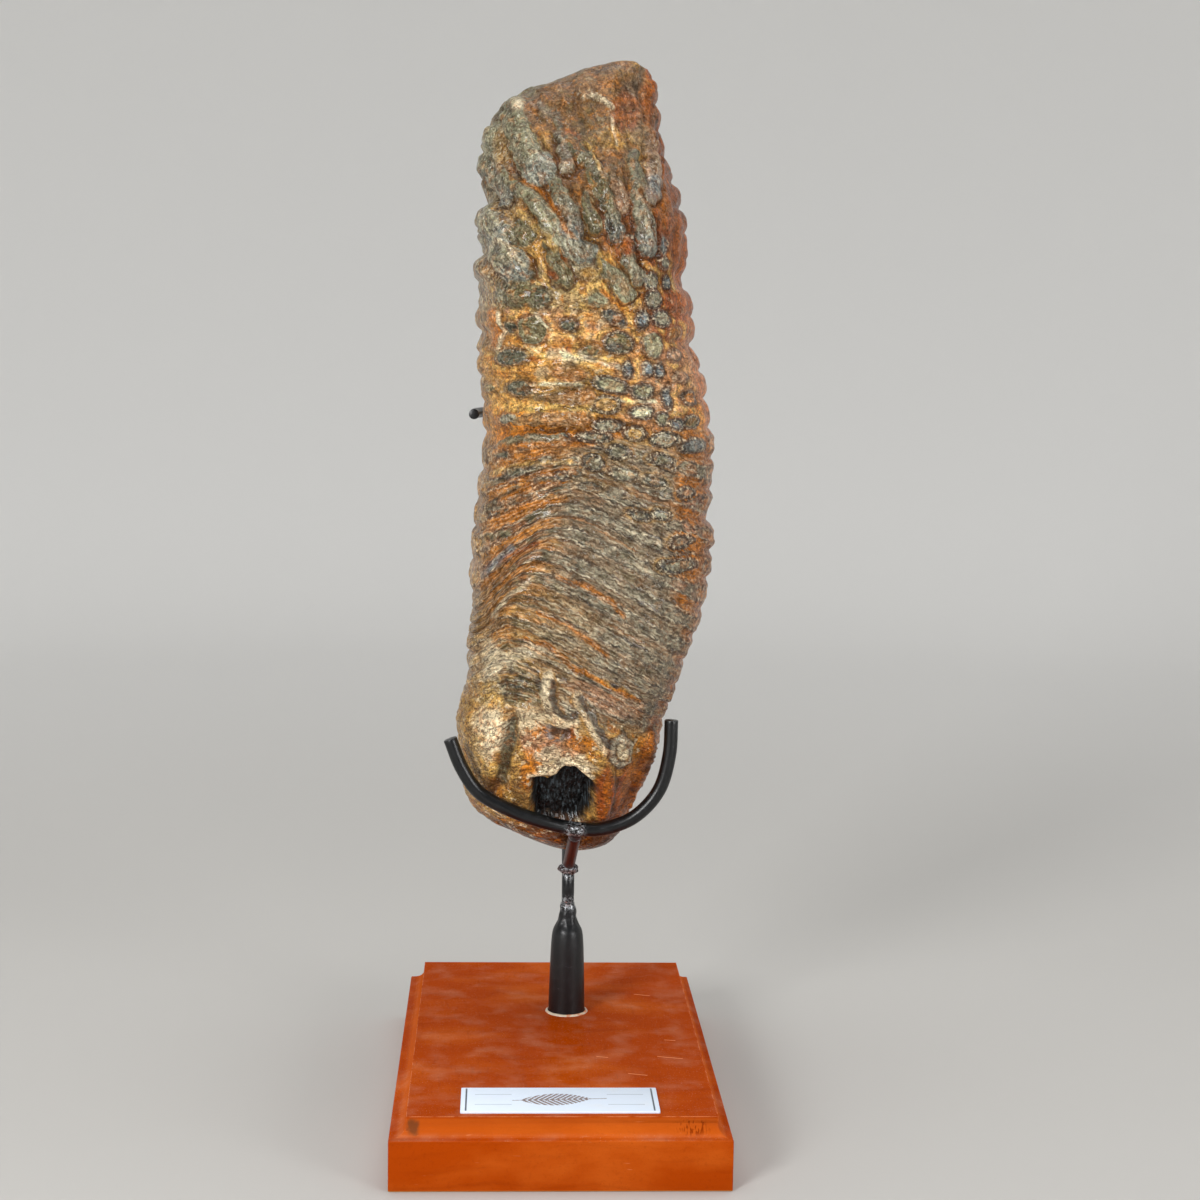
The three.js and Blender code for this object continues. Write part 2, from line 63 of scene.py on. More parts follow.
class Tone(Enum):
    """Colours of the whole object, as sRGB."""

    RED_BROWN = "8a6440"
    RUST = "aa5420"
    BRICK = "aa5e3c"
    ORANGE = "c8761a"
    TAN = "a86a2a"
    OCHRE = "c0924c"
    YELLOW = "e0b464"
    CREAM = "efdcb6"
    PINK_BUFF = "c4906c"
    OLIVE = "67613f"
    OLIVE_DARK = "45493a"
    OLIVE_PALE = "999777"
    BLUE_GREY = "75838a"
    GREY = "908b75"
    MAUVE = "8f806c"
    UMBER = "5b3a22"
    # Near black inside the broken hollow
    HOLLOW_BLACK = "191716"
    ROOT = "9c4606"
    ENAMEL_LIGHT = "cdc2a6"
    ENAMEL_DARK = "33363a"
    # Near white of the painted glints on the tooth
    PAINTED_GLINT = "f2eee2"
    STAIN = "a43d03"
    STAIN_DARK = "7e2a02"
    STAIN_LIGHT = "c8601c"
    SCRATCH = "e08a56"
    CARD_WHITE = "dfebfa"
    PRINT = "26303c"
    PRINT_BROWN = "6b4a36"
    GLUE = "cdbfa8"
    BLACK = "08090b"
    # Wine red of the painted reflection of the wooden plinth on the strut
    BARE_STEEL = "b9bcc0"
    REFLECTED_WOOD = "3c0e08"
    FLOOR = "bcbab6"
    WALL = "f6f5f2"
    SHADE = "4a4a4a"

    @property
    def linear(self) -> tuple[float, float, float, float]:
        """The tone as linear light with full alpha."""
        parts = [int(self.value[at:at + 2], 16) / 255 for at in (0, 2, 4)]
        red, green, blue = [part / 12.92 if part < 0.04045 else ((part + 0.055) / 1.055) ** 2.4
                            for part in parts]
        return red, green, blue, 1.0


class Slot(Enum):
    """Names of the material slots."""

    WOOD = "stained_wood"
    CARD = "label_card"
    GLUE = "dried_glue"
    PAINT = "black_paint"
    TOOTH = "fossil_tooth"


def smoothstep(value: Number, low: float, high: float) -> Number:
    """Rises smoothly from 0 at low to 1 at high, or falls where high is below low."""
    share = np.clip((value - low) / (high - low), 0, 1)
    return share * share * (3 - 2 * share)


def blend(first: Number, second: Number, share: Number) -> Number:
    """Straight blend from first to second."""
    return first + (second - first) * share


def noise_at(places: np.ndarray, size: float | Place, seed: float = 0.0) -> np.ndarray:
    """Smooth noise between about -1 and 1.

    Args:
        places: Rows of x, y and z.
        size: Spacing of the noise, one for all axes or one for each.
        seed: Shift that makes one noise differ from another.

    Returns:
        One value for each row.
    """
    return np.array([noise.noise(Vector(place)) for place in places / np.array(size) + seed])


class Stations:
    """Monotone cubic curve through (place, value) stations."""

    def __init__(self, *stations: tuple[float, float]) -> None:
        """Works out the slope at every station."""
        self.places, self.values = np.array(stations, float).T
        self.steps = np.diff(self.places)
        rises = np.diff(self.values) / self.steps
        before, after = rises[:-1], rises[1:]
        turning = before * after <= 0
        total = np.where(turning, 1.0, before + after)
        inner = np.where(turning, 0.0, 2 * before * after / total)
        self.slopes = np.concatenate(([rises[0]], inner, [rises[-1]]))

    def __call__(self, place: Number) -> Number:
        """Value of the curve at a place, held level past its ends."""
        inside = np.clip(place, self.places[0], self.places[-1])
        index = np.clip(np.searchsorted(self.places, inside, side="right") - 1, 0, len(self.steps) - 1)
        share = (inside - self.places[index]) / self.steps[index]
        rest = 1 - share
        low, high = self.values[index], self.values[index + 1]
        bend = self.slopes[index] * share * rest ** 2 - self.slopes[index + 1] * share ** 2 * rest
        level = low * (1 + 2 * share) * rest ** 2 + high * share ** 2 * (3 - 2 * share)
        return level + self.steps[index] * bend


@dataclass(frozen=True)
class Signal:
    """A value on its way through a node tree. Plain arithmetic adds the nodes for it."""

    graph: "Graph"
    socket: bpy.types.NodeSocket

    def __add__(self, other: "Signal | float") -> "Signal":
        """Sum."""
        return self.graph.math("ADD", self, other)

    def __sub__(self, other: "Signal | float") -> "Signal":
        """Difference."""
        return self.graph.math("SUBTRACT", self, other)

    def __radd__(self, other: float) -> "Signal":
        """Sum with a number."""
        return self.graph.math("ADD", other, self)

    def __rsub__(self, other: float) -> "Signal":
        """Difference from a number."""
        return self.graph.math("SUBTRACT", other, self)

    def __mul__(self, other: "Signal | float") -> "Signal":
        """Product."""
        return self.graph.math("MULTIPLY", self, other)

    def __abs__(self) -> "Signal":
        """Size without sign."""
        return self.graph.math("ABSOLUTE", self)

    def step(self, low: float, high: float) -> "Signal":
        """Smooth mask that rises from 0 at low to 1 at high, or falls where high is below low."""
        ends = (1.0, 0.0) if high < low else (0.0, 1.0)
        low, high = min(low, high), max(low, high)
        inputs = {"Value": self, "From Min": low, "From Max": high, "To Min": ends[0], "To Max": ends[1]}
        return self.graph.signal("MapRange", inputs, {"interpolation_type": "SMOOTHSTEP"})


Source = Signal | Tone | float | tuple
Signals = dict[str, Signal]
Inputs = dict[str | int, Source]


class Graph:
    """Adds nodes to one node tree through short calls."""

    def __init__(self, tree: bpy.types.NodeTree) -> None:
        """Takes the tree that the nodes go into."""
        self.tree = tree

    def node(self, kind: str, inputs: Inputs | None = None,
             settings: dict[str, object] | None = None) -> bpy.types.Node:
        """Adds a node.

        Args:
            kind: Type of the node without its ShaderNode prefix.
            inputs: What each named or numbered input gets, a signal, a tone or a plain value.
            settings: Properties of the node itself.

        Returns:
            The new node.
        """
        made = self.tree.nodes.new("ShaderNode" + kind)
        for name, value in (settings or {}).items():
            setattr(made, name, value)
        for name, source in (inputs or {}).items():
            self.feed(made.inputs[name], source)
        return made

    def feed(self, socket: bpy.types.NodeSocket, source: Source) -> None:
        """Links a signal to an input, or sets a plain value on it."""
        if isinstance(source, Signal):
            self.tree.links.new(source.socket, socket)
        elif isinstance(source, Tone):
            socket.default_value = source.linear
        else:
            socket.default_value = source

    def signal(self, kind: str, inputs: Inputs | None = None,
               settings: dict[str, object] | None = None, output: str | int = 0) -> Signal:
        """Adds a node and returns one of its outputs."""
        return Signal(self, self.node(kind, inputs, settings).outputs[output])

    def math(self, operation: str, *terms: Source) -> Signal:
        """Adds a math node."""
        return self.signal("Math", dict(enumerate(terms)), {"operation": operation})

    def vector(self, operation: str, *terms: Source, output: str = "Vector") -> Signal:
        """Adds a vector math node."""
        numbered = {(3 if operation == "SCALE" and at == 1 else at): term for at, term in enumerate(terms)}
        return self.signal("VectorMath", numbered, {"operation": operation}, output)

    def mix(self, first: Source, second: Source, share: Source) -> Signal:
        """Blends two colours."""
        return self.signal("Mix", {0: share, 6: first, 7: second}, {"data_type": "RGBA"}, 2)

    def shaded(self, colour: Source, factor: Signal) -> Signal:
        """A colour made darker or lighter by a factor."""
        settings = {"data_type": "RGBA", "blend_type": "MULTIPLY"}
        return self.signal("Mix", {0: 1.0, 6: colour, 7: factor}, settings, 2)

    def layered(self, ground: Source, *layers: tuple[Source, Source]) -> Source:
        """A ground with colours laid over it one after another, each as thickly as its mask says."""
        for colour, share in layers:
            ground = self.mix(ground, colour, share)
        return ground

    def group(self, tree: bpy.types.NodeTree, output: str, **inputs: Source) -> Signal:
        """Places a shared group and returns one of its outputs."""
        return self.signal("Group", inputs, {"node_tree": tree}, output)

    def noise(self, places: Signal, size: float, detail: float = 2, roughness: float = 0.55) -> Signal:
        """Noise from 0 to 1 with forms of about the given size in millimetres."""
        return self.signal("TexNoise", {"Vector": places, "Scale": 1 / (size * MM), "Detail": detail,
                                        "Roughness": roughness})

    def noise_vector(self, places: Signal, size: float) -> Signal:
        """Noise vector from about -0.5 to 0.5 along each axis."""
        shifts = self.signal("TexNoise", {"Vector": places, "Scale": 1 / (size * MM)}, output="Color")
        return self.vector("SUBTRACT", shifts, (0.5, 0.5, 0.5))

    def warped(self, places: Signal, size: float, reach: float) -> Signal:
        """Places pushed about by noise of one size, by up to about the reach in millimetres."""
        push = self.vector("SCALE", self.noise_vector(places, size), 2 * reach * MM)
        return self.vector("ADD", places, push)

    def stretched(self, places: Signal, factors: Place, turn: float = 0) -> Signal:
        """Places scaled along each axis after a turn about Z in degrees."""
        inputs = {"Vector": places, "Scale": factors, "Rotation": (0, 0, math.radians(turn))}
        return self.signal("Mapping", inputs)

    def bump(self, height: Signal, depth: float, strength: float = 1) -> Signal:
        """Normal of a height field of the given depth in millimetres."""
        return self.signal("Bump", {"Height": height, "Distance": depth * MM, "Strength": strength})

    def places(self) -> Signal:
        """Places in the object's own frame, in metres."""
        return self.signal("TexCoord", output="Object")

    def axes(self, places: Signal) -> tuple[Signal, Signal, Signal]:
        """The three parts of a vector."""
        x, y, z = self.node("SeparateXYZ", {0: places}).outputs
        return Signal(self, x), Signal(self, y), Signal(self, z)

    def painted(self, name: str, output: str = "Fac") -> Signal:
        """A named attribute of the mesh."""
        return self.signal("Attribute", settings={"attribute_name": name}, output=output)


def effect(name: str, inputs: dict[str, float | Place], outputs: Sequence[str],
           fill: Callable[[Graph, Signals], Signals]) -> bpy.types.NodeTree:
    """Builds a shared node group once and hands back the same one afterwards.

    Args:
        name: Name of the group.
        inputs: Input names with their usual values, a number or a vector.
        outputs: Names of the values that it puts out.
        fill: Adds the nodes and returns a signal for each output.

    Returns:
        The node group.
    """
    if name in bpy.data.node_groups:
        return bpy.data.node_groups[name]
    tree = bpy.data.node_groups.new(name, "ShaderNodeTree")
    for label, usual in inputs.items():
        kind = "NodeSocketFloat" if isinstance(usual, (int, float)) else "NodeSocketVector"
        tree.interface.new_socket(label, in_out="INPUT", socket_type=kind).default_value = usual
    for label in outputs:
        tree.interface.new_socket(label, in_out="OUTPUT", socket_type="NodeSocketFloat")
    graph = Graph(tree)
    entry, leave = tree.nodes.new("NodeGroupInput"), tree.nodes.new("NodeGroupOutput")
    found = fill(graph, {label: Signal(graph, entry.outputs[label]) for label in inputs})
    for label in outputs:
        graph.feed(leave.inputs[label], found[label])
    return tree


def edge_wear() -> bpy.types.NodeTree:
    """Mask of the outer edges, broken up by noise."""
    def fill(graph: Graph, given: Signals) -> Signals:
        rounded = graph.signal("Bevel", {"Radius": given["Radius"]}, {"samples": 6})
        flat = graph.signal("NewGeometry", output="Normal")
        closeness = graph.vector("DOT_PRODUCT", rounded, flat, output="Value")
        patchy = graph.noise(graph.places(), 3.5, 3).step(0.34, 0.62)
        return {"Mask": closeness.step(0.995, 0.86) * patchy}
    return effect("edge_wear", {"Radius": 0.5 * MM}, ["Mask"], fill)


def settled_dust() -> bpy.types.NodeTree:
    """Mask of fine dust on faces that look up."""
    def fill(graph: Graph, given: Signals) -> Signals:
        up = graph.axes(graph.signal("NewGeometry", output="Normal"))[2].step(0.5, 0.95)
        specks = graph.noise(graph.places(), 0.6, 2).step(0.6, 0.78)
        cloud = graph.noise(graph.places(), 14, 3).step(0.42, 0.75)
        return {"Mask": (specks * 0.7 + cloud * 0.35) * up * given["Amount"]}
    return effect("settled_dust", {"Amount": 0.3}, ["Mask"], fill)


def hairlines() -> bpy.types.NodeTree:
    """Mask of short fine scratches that all run near one direction."""
    def fill(graph: Graph, given: Signals) -> Signals:
        wavy = graph.warped(given["Places"], 18, 1.2)
        lines = graph.noise(graph.stretched(wavy, (0.07, 1, 1), 6), 0.75, 1).step(0.7, 0.76)
        breaks = graph.noise(given["Places"], 7, 1).step(0.55, 0.66)
        return {"Mask": lines * breaks * given["Amount"]}
    return effect("hairlines", {"Places": ORIGIN, "Amount": 1.0}, ["Mask"], fill)


def mottling() -> bpy.types.NodeTree:
    """Broad clouds and fine grains of one surface."""
    def fill(graph: Graph, given: Signals) -> Signals:
        places = graph.vector("SCALE", given["Places"], given["Scale"])
        broad = graph.noise(graph.warped(places, 9, 3), 5.5, 4)
        fine = graph.noise(graph.warped(places, 2.4, 0.8), 0.9, 3, roughness=0.65)
        return {"Broad": broad, "Fine": fine}
    return effect("mottling", {"Places": ORIGIN, "Scale": 1.0}, ["Broad", "Fine"], fill)


def stroke() -> bpy.types.NodeTree:
    """Mask of one straight stroke from Start to End."""
    def fill(graph: Graph, given: Signals) -> Signals:
        run = graph.vector("SUBTRACT", given["End"], given["Start"])
        offset = graph.vector("SUBTRACT", given["Places"], given["Start"])
        along = graph.vector("DOT_PRODUCT", offset, run, output="Value")
        whole = graph.vector("DOT_PRODUCT", run, run, output="Value")
        share = graph.math("MINIMUM", graph.math("MAXIMUM", graph.math("DIVIDE", along, whole), 0.0), 1.0)
        nearest = graph.vector("SCALE", run, share)
        distance = graph.vector("DISTANCE", offset, nearest, output="Value")
        return {"Mask": graph.math("DIVIDE", distance, given["Width"]).step(0.5, 0.25)}
    inputs = {"Places": ORIGIN, "Start": ORIGIN, "End": (1.0, 0.0, 0.0), "Width": MM}
    return effect("stroke", inputs, ["Mask"], fill)


@dataclass(frozen=True)
class Finish:
    """A material with its own node tree. Each finish fills in its look."""

    title: str

    def build(self) -> bpy.types.Material:
        """Makes the material, or hands back the one already made."""
        if self.title in bpy.data.materials:
            return bpy.data.materials[self.title]
        material = bpy.data.materials.new(self.title)
        material.use_nodes = True
        material.node_tree.nodes.clear()
        graph = Graph(material.node_tree)
        shader = graph.node("BsdfPrincipled", self.look(graph))
        output = material.node_tree.nodes.new("ShaderNodeOutputMaterial")
        material.node_tree.links.new(shader.outputs[0], output.inputs["Surface"])
        return material

    def look(self, graph: Graph) -> Inputs:
        """Adds the nodes and returns what the shader's inputs get."""
        raise NotImplementedError


@dataclass(frozen=True)
class StainedWood(Finish):
    """Close-grained wood under orange-brown stain and worn varnish."""

    title: str = "stained_varnished_wood"
    top: float = 25.7
    scratch_width: float = 0.7
    scratches: tuple[tuple[float, float, float, float], ...] = (
        (-15.5, -66.5, -6.0, -69.5), (15.0, -31.0, 19.0, -32.2), (38.0, -31.0, 47.0, -33.5),
        (26.0, -50.5, 32.5, -52.5), (42.0, -11.0, 46.0, -11.8), (34.0, 49.0, 40.0, 47.0))
    moulding_foot: Span = (18.4, 19.4)
    moulding_top: Span = (25.4, 24.6)
    underside: Span = (0.6, 0.2)
    scuffs: tuple[Place, Place] = ((46.0, -97.0, 22.0), (8.0, 4.0, 3.5))
    knot: tuple[Place, Place] = ((-51.5, -96.5, 22.0), (3.0, 3.0, 3.6))

    def look(self, graph: Graph) -> Inputs:
        """Soft grain across the front, flecks, dents, pale scratches, a dark knot and lighter arrises."""
        places = graph.places()
        height = graph.axes(places)[2] * (1 / MM)
        flow = graph.warped(places, 46, 6)
        cloud, grain, pores, bands = (
            graph.noise(graph.stretched(flow, stretch), size, detail) for stretch, size, detail in (
                ((0.5, 0.8, 1.2), 22, 4), ((1, 0.09, 1), 1.3, 3), ((1, 0.14, 1.4), 0.5, 1),
                ((0.12, 1, 1.6), 5, 3)))
        moulding = height.step(*self.moulding_foot) * height.step(*self.moulding_top)
        marks = self.marks(graph, places)
        teeth = graph.noise(graph.stretched(places, (1, 0.2, 0.3)), 0.8, 1).step(0.52, 0.62)
        dents = self.near(graph, places, *self.scuffs) * teeth
        dust = graph.group(settled_dust(), "Mask", Amount=0.22)
        under = height.step(*self.underside)
        colour = graph.layered(
            Tone.STAIN,
            (Tone.STAIN_LIGHT, cloud.step(0.42, 0.74) * 0.55),
            (Tone.STAIN_DARK, bands.step(0.5, 0.8) * 0.32 + grain.step(0.52, 0.8) * 0.28),
            (Tone.STAIN_DARK, pores.step(0.62, 0.74) * 0.35),
            (Tone.STAIN_LIGHT, moulding * 0.45),
            (Tone.SCRATCH, graph.group(edge_wear(), "Mask", Radius=0.7 * MM) * 0.7),
            (Tone.STAIN_DARK, dents * 0.8),
            (Tone.UMBER, self.near(graph, graph.warped(places, 3, 1.5), *self.knot) * 0.75),
            (Tone.SCRATCH, marks), (Tone.CREAM, dust), (Tone.OCHRE, under * 0.6))
        roughness = cloud.step(0.3, 0.7) * 0.14 + 0.3 + marks * 0.2 + dust * 0.4 + under * 0.25
        relief = grain * 0.4 + pores * 0.3 - marks * 1.2 - dents * 2
        return {"Base Color": colour, "Roughness": roughness, "Coat Weight": 0.07, "Coat Roughness": 0.2,
                "Specular IOR Level": 0.0, "Normal": graph.bump(relief, 0.12, 0.8)}

    def marks(self, graph: Graph, places: Signal) -> Signal:
        """Mask of the fine hairlines and of the longer scratches on the top."""
        marks = graph.group(hairlines(), "Mask", Places=places, Amount=1.0) * 0.35
        wavering = graph.warped(places, 2.5, 0.25)
        for x0, y0, x1, y1 in self.scratches:
            start, end = (x0 * MM, y0 * MM, self.top * MM), (x1 * MM, y1 * MM, self.top * MM)
            marks = graph.math("MAXIMUM", marks, graph.group(
                stroke(), "Mask", Places=wavering, Width=self.scratch_width * MM, Start=start, End=end))
        return marks

    def near(self, graph: Graph, places: Signal, centre: Place, reach: Place) -> Signal:
        """Mask of a soft ellipsoid round a place in millimetres."""
        offset = graph.vector("SUBTRACT", places, tuple(MM * part for part in centre))
        scaled = graph.vector("DIVIDE", offset, tuple(MM * part for part in reach))
        return graph.vector("LENGTH", scaled, output="Value").step(1.0, 0.45)


@dataclass(frozen=True)
class PrintedCard(Finish):
    """White card with a thin dark line near each end and a small drawn leaf between plain rules."""

    title: str = "printed_card"
    width: float = 70.0
    depth: float = 25.0
    x: float = -0.3
    y: float = -80.8
    end_inset: float = 1.9
    line: float = 0.8
    leaf_length: float = 26.0
    leaf_reach: float = 6.2
    leaf_shift: float = 1.5
    leaf_lean: float = 0.06
    veins: float = 13.0
    vein_slant: float = 0.75
    rule_along: float = 5.2
    rule_across: float = 23.5

    def look(self, graph: Graph) -> Inputs:
        """White with the printed lines and leaf, a little yellowed and dusty."""
        places = graph.places()
        across, along, _ = graph.axes(graph.vector("SUBTRACT", places, (self.x * MM, self.y * MM, 0)))
        across, along = across * (1 / MM), along * (1 / MM)
        end_line = abs(abs(across) - (self.width / 2 - self.end_inset))
        end_line = end_line.step(self.line / 2, self.line / 2 - 0.2)
        end_line = end_line * abs(along).step(self.depth / 2 - 0.8, self.depth / 2 - 1.1)
        rules = abs(abs(across) - self.rule_across).step(6.6, 6.4)
        rules = rules * abs(abs(along) - self.rule_along).step(0.25, 0.12)
        ink = graph.noise(places, 0.5, 1).step(0.2, 0.5)
        fibres = graph.noise(graph.stretched(places, (0.4, 1, 1)), 0.35, 2)
        colour = graph.layered(
            Tone.CARD_WHITE,
            (Tone.CREAM, graph.noise(places, 12, 3).step(0.5, 0.8) * 0.12),
            (Tone.PRINT_BROWN, self.leaf(graph, across, along) * ink * 0.9),
            (Tone.PRINT, graph.math("MAXIMUM", end_line, rules * 0.6) * 0.92),
            (Tone.GREY, graph.group(edge_wear(), "Mask", Radius=0.3 * MM) * 0.35))
        return {"Base Color": colour, "Roughness": fibres * 0.15 + 0.42,
                "Normal": graph.bump(fibres, 0.03, 0.6)}

    def leaf(self, graph: Graph, across: Signal, along: Signal) -> Signal:
        """Mask of the leaf: slanted veins within a pointed outline, and its stem."""
        half = self.leaf_length / 2
        shifted = across + self.leaf_shift
        reach = (1 - shifted * shifted * (1 / half ** 2)) * self.leaf_reach
        beside = abs(along - across * self.leaf_lean)
        slanted = across - beside * self.vein_slant
        veins = graph.math("FRACT", slanted * (self.veins / self.leaf_length) + 40.0)
        blade = abs(veins - 0.5).step(0.36, 0.3) * (reach - beside).step(0.0, 0.35)
        return graph.math("MAXIMUM", blade, beside.step(0.32, 0.2) * abs(across).step(half + 4, half + 3.6))


@dataclass(frozen=True)
class DriedGlue(Finish):
    """Thin ring of dried glue, pale and a little yellow."""

    title: str = "cloudy_dried_glue"

    def look(self, graph: Graph) -> Inputs:
        """Pale, cloudy and glossy, with dust in it."""
        cloud = graph.group(mottling(), "Broad", Places=graph.places(), Scale=2.0)
        colour = graph.layered(Tone.GLUE, (Tone.STAIN_LIGHT, cloud.step(0.45, 0.6) * 0.8),
                               (Tone.GREY, graph.group(settled_dust(), "Mask", Amount=0.3)))
        return {"Base Color": colour, "Roughness": cloud * 0.3 + 0.15, "Normal": graph.bump(cloud, 0.2)}


@dataclass(frozen=True)
class BlackPaint(Finish):
    """Satin black paint on steel, worn to metal at the welds."""

    title: str = "painted_steel"
    gloss: float = 0.34
    # Strength of a painted wine-red reflection of the wooden plinth
    wood_reflection: float = 0.0

    def look(self, graph: Graph) -> Inputs:
        """Nearly black, with brush marks, dust, worn places, bare bright metal where the weld is, and where
        asked a painted wine-red reflection of the wooden plinth.
        """
        places = graph.places()
        broad = graph.group(mottling(), "Broad", Places=places, Scale=1.4)
        fine = graph.group(mottling(), "Fine", Places=places, Scale=1.0)
        weld = graph.painted("weld")
        wear = graph.group(edge_wear(), "Mask", Radius=0.35 * MM)
        scratches = graph.group(hairlines(), "Mask", Places=places, Amount=0.8)
        bright = graph.math("MINIMUM", wear * 0.5 + scratches * 0.25 + weld * fine.step(0.46, 0.6), 1.0)
        dust = graph.group(settled_dust(), "Mask", Amount=0.18)
        colour = graph.layered(
            Tone.BLACK, (Tone.ENAMEL_DARK, broad.step(0.45, 0.75) * 0.15),
            # Painted reflection of the wooden plinth, kept off the welds
            (Tone.REFLECTED_WOOD, broad.step(0.2, 0.5) * self.wood_reflection * (1 - weld)),
            (Tone.BARE_STEEL, bright), (Tone.GREY, dust))
        roughness = fine * 0.14 + (self.gloss - 0.07) + dust * 0.3 - weld * 0.1
        return {"Base Color": colour, "Metallic": bright * 0.9, "Roughness": roughness,
                "Specular IOR Level": 0.35, "Coat Weight": 0.15, "Coat Roughness": 0.25,
                "Normal": graph.bump(broad * 0.5 + fine * 0.5, 0.22, 0.7)}


@dataclass(frozen=True)
class FossilTooth(Finish):
    """Lacquered fossil: enamel lines, dentine and cement, all finely grained and speckled."""

    title: str = "lacquered_fossil"
    thread_spacing: float = 1.5
    swirls: float = 9.0
    hatch_shift: float = 50.0
    enamel_place: float = 0.8

    def look(self, graph: Graph) -> Inputs:
        """Cement and core tones from the mesh, parted by enamel, with streaks that follow the plates, painted
        glints, a painted highlight on crests and painted shade in grooves.
        """
        places = graph.places()
        lines, fanned, mottled = graph.axes(graph.painted("zones", "Vector"))
        glassy, waved, hollow = (graph.painted(name) for name in ("glassy", "waved", "hollow"))
        broad = graph.group(mottling(), "Broad", Places=places, Scale=1.0)
        fine = graph.group(mottling(), "Fine", Places=places, Scale=0.75)
        crinkle = graph.vector("ADD", *(graph.vector("SCALE", graph.noise_vector(places, size), reach * MM)
                                        for size, reach in ((3.4, 2.4), (1.3, 0.9))))
        level, fan = (graph.vector("ADD", graph.painted(name, "Vector"), crinkle)
                      for name in ("level", "fan"))

        def grained(stretch: Place, size: float, detail: float, roughness: float = 0.55) -> Signal:
            """Noise along the plates below and along the fan of columns above."""
            below, above = (graph.noise(graph.stretched(run, stretch), size, detail, roughness)
                            for run in (level, fan))
            return below + (above - below) * fanned

        streaks = grained((0.13, 1, 0.25), 1.9, 3)
        threads = grained((0.2, 1, 0.35), 0.9, 3, 0.65)
        bands = grained((0.06, 1, 0.15), 3.0, 1)
        grain = fine + (threads - fine) * lines * 0.85
        blotch = graph.noise(graph.warped(places, 8, 5), 4.4, 4, 0.6)
        shifted = graph.vector("ADD", places, (0.4, 0.2, 0.7))
        other = graph.noise(graph.warped(shifted, 7, 4), 3.4, 4, 0.6)
        crease = abs(grained((0.45, 1, 0.5), 2.1, 2, 0.6) - 0.5)
        cracks = abs(graph.noise(graph.warped(places, 5, 3), 2.8, 3) - 0.5).step(0.02, 0.004)
        # Painted glints: small near-white flecks along the grain, standing in for reflections in the lacquer
        painted_glints = grained((0.5, 1, 1), 0.9, 2, 0.7).step(0.62, 0.7)
        fibres = graph.noise(graph.stretched(places, (1, 1, 0.1)), 1.1, 3)

        wobble = graph.noise(places, 1.3, 3) - 0.5
        wave = graph.noise(graph.stretched(places, (1, 1, 0.7)), 3.2, 1) - 0.5
        gap = graph.painted("gap") + wobble * 1.0 + wave * 0.8
        rim = abs(gap - self.enamel_place).step(0.75, 0.15) * graph.painted("rim")
        band = abs(gap).step(0.9, 0.45) * graph.painted("enamel")
        row = graph.axes(level)[1] * (1 / (self.thread_spacing * MM))
        hatch = abs(graph.math("FRACT", row + self.hatch_shift) - 0.5) * 2
        hatched = streaks.step(0.36, 0.56) * lines
        swirl = abs(graph.math("FRACT", grained((0.4, 1, 1), 10, 0) * self.swirls) - 0.5) * 2

        base = graph.mix(graph.painted("core_tone", "Color"), graph.painted("cement_tone", "Color"),
                         gap.step(-0.3, 0.3))
        colour = graph.layered(
            base,
            (Tone.ORANGE, blotch.step(0.53, 0.6) * (mottled * 0.3 - fanned * 0.12 - lines * 0.28 + 0.42)),
            (Tone.OLIVE, blotch.step(0.45, 0.38) * 0.35),
            (Tone.CREAM, other.step(0.56, 0.63) * (mottled * 0.6 + 0.16)),
            (Tone.UMBER, broad.step(0.42, 0.3) * mottled * 0.55),
            (Tone.RED_BROWN, other.step(0.42, 0.35) * 0.45),
            (Tone.ORANGE, bands.step(0.61, 0.67) * lines * 0.28),
            (base, graph.painted("calm") * 0.8),
            # Painted shade: dark umber in the groove round each finger and oval
            (Tone.UMBER, rim * 0.68),
            (graph.mix(Tone.ENAMEL_DARK, Tone.ENAMEL_LIGHT, grain.step(0.48, 0.64)), band * 0.8),
            (Tone.ENAMEL_LIGHT, hatch.step(0.6, 0.9) * hatched * 0.32),
            (Tone.UMBER, hatch.step(0.35, 0.1) * hatched * 0.35),
            (Tone.ENAMEL_DARK, swirl.step(0.45, 0.15) * waved * 0.6),
            (Tone.ENAMEL_LIGHT, swirl.step(0.6, 0.9) * waved * 0.4),
            (graph.mix(Tone.ENAMEL_DARK, Tone.ENAMEL_LIGHT, grain.step(0.4, 0.56)),
             glassy * grain.step(0.42, 0.58) * 0.26),
            # Painted highlight on the crests of the crinkles, and darker umber in their valleys
            (Tone.ENAMEL_LIGHT, crease.step(0.08, 0.2) * (glassy - waved * 0.5) * 0.4),
            (Tone.UMBER, crease.step(0.05, 0.0) * (mottled * 0.3 - lines * 0.2 + 0.5)))
        wet = glassy * fanned
        shade = streaks.step(0.3, 0.7) * (wet * 0.3 + 0.46) + grain.step(0.32, 0.68) * (wet * -0.35 + 0.8)
        shade = shade + threads.step(0.3, 0.7) * 0.36
        shade = shade * broad.step(0.15, 0.5) + 0.26 + mottled * 0.2
        # Fill of the broken hollow: near black, with blue-grey streaks along its fibres as painted highlights
        depths = graph.mix(Tone.HOLLOW_BLACK, Tone.BLUE_GREY, fibres.step(0.46, 0.74) * 0.5)
        colour = graph.layered(graph.shaded(colour, shade), (Tone.UMBER, cracks * 0.6),
                               (Tone.PAINTED_GLINT, painted_glints * (glassy * 0.6 + 0.16)), (depths, hollow))

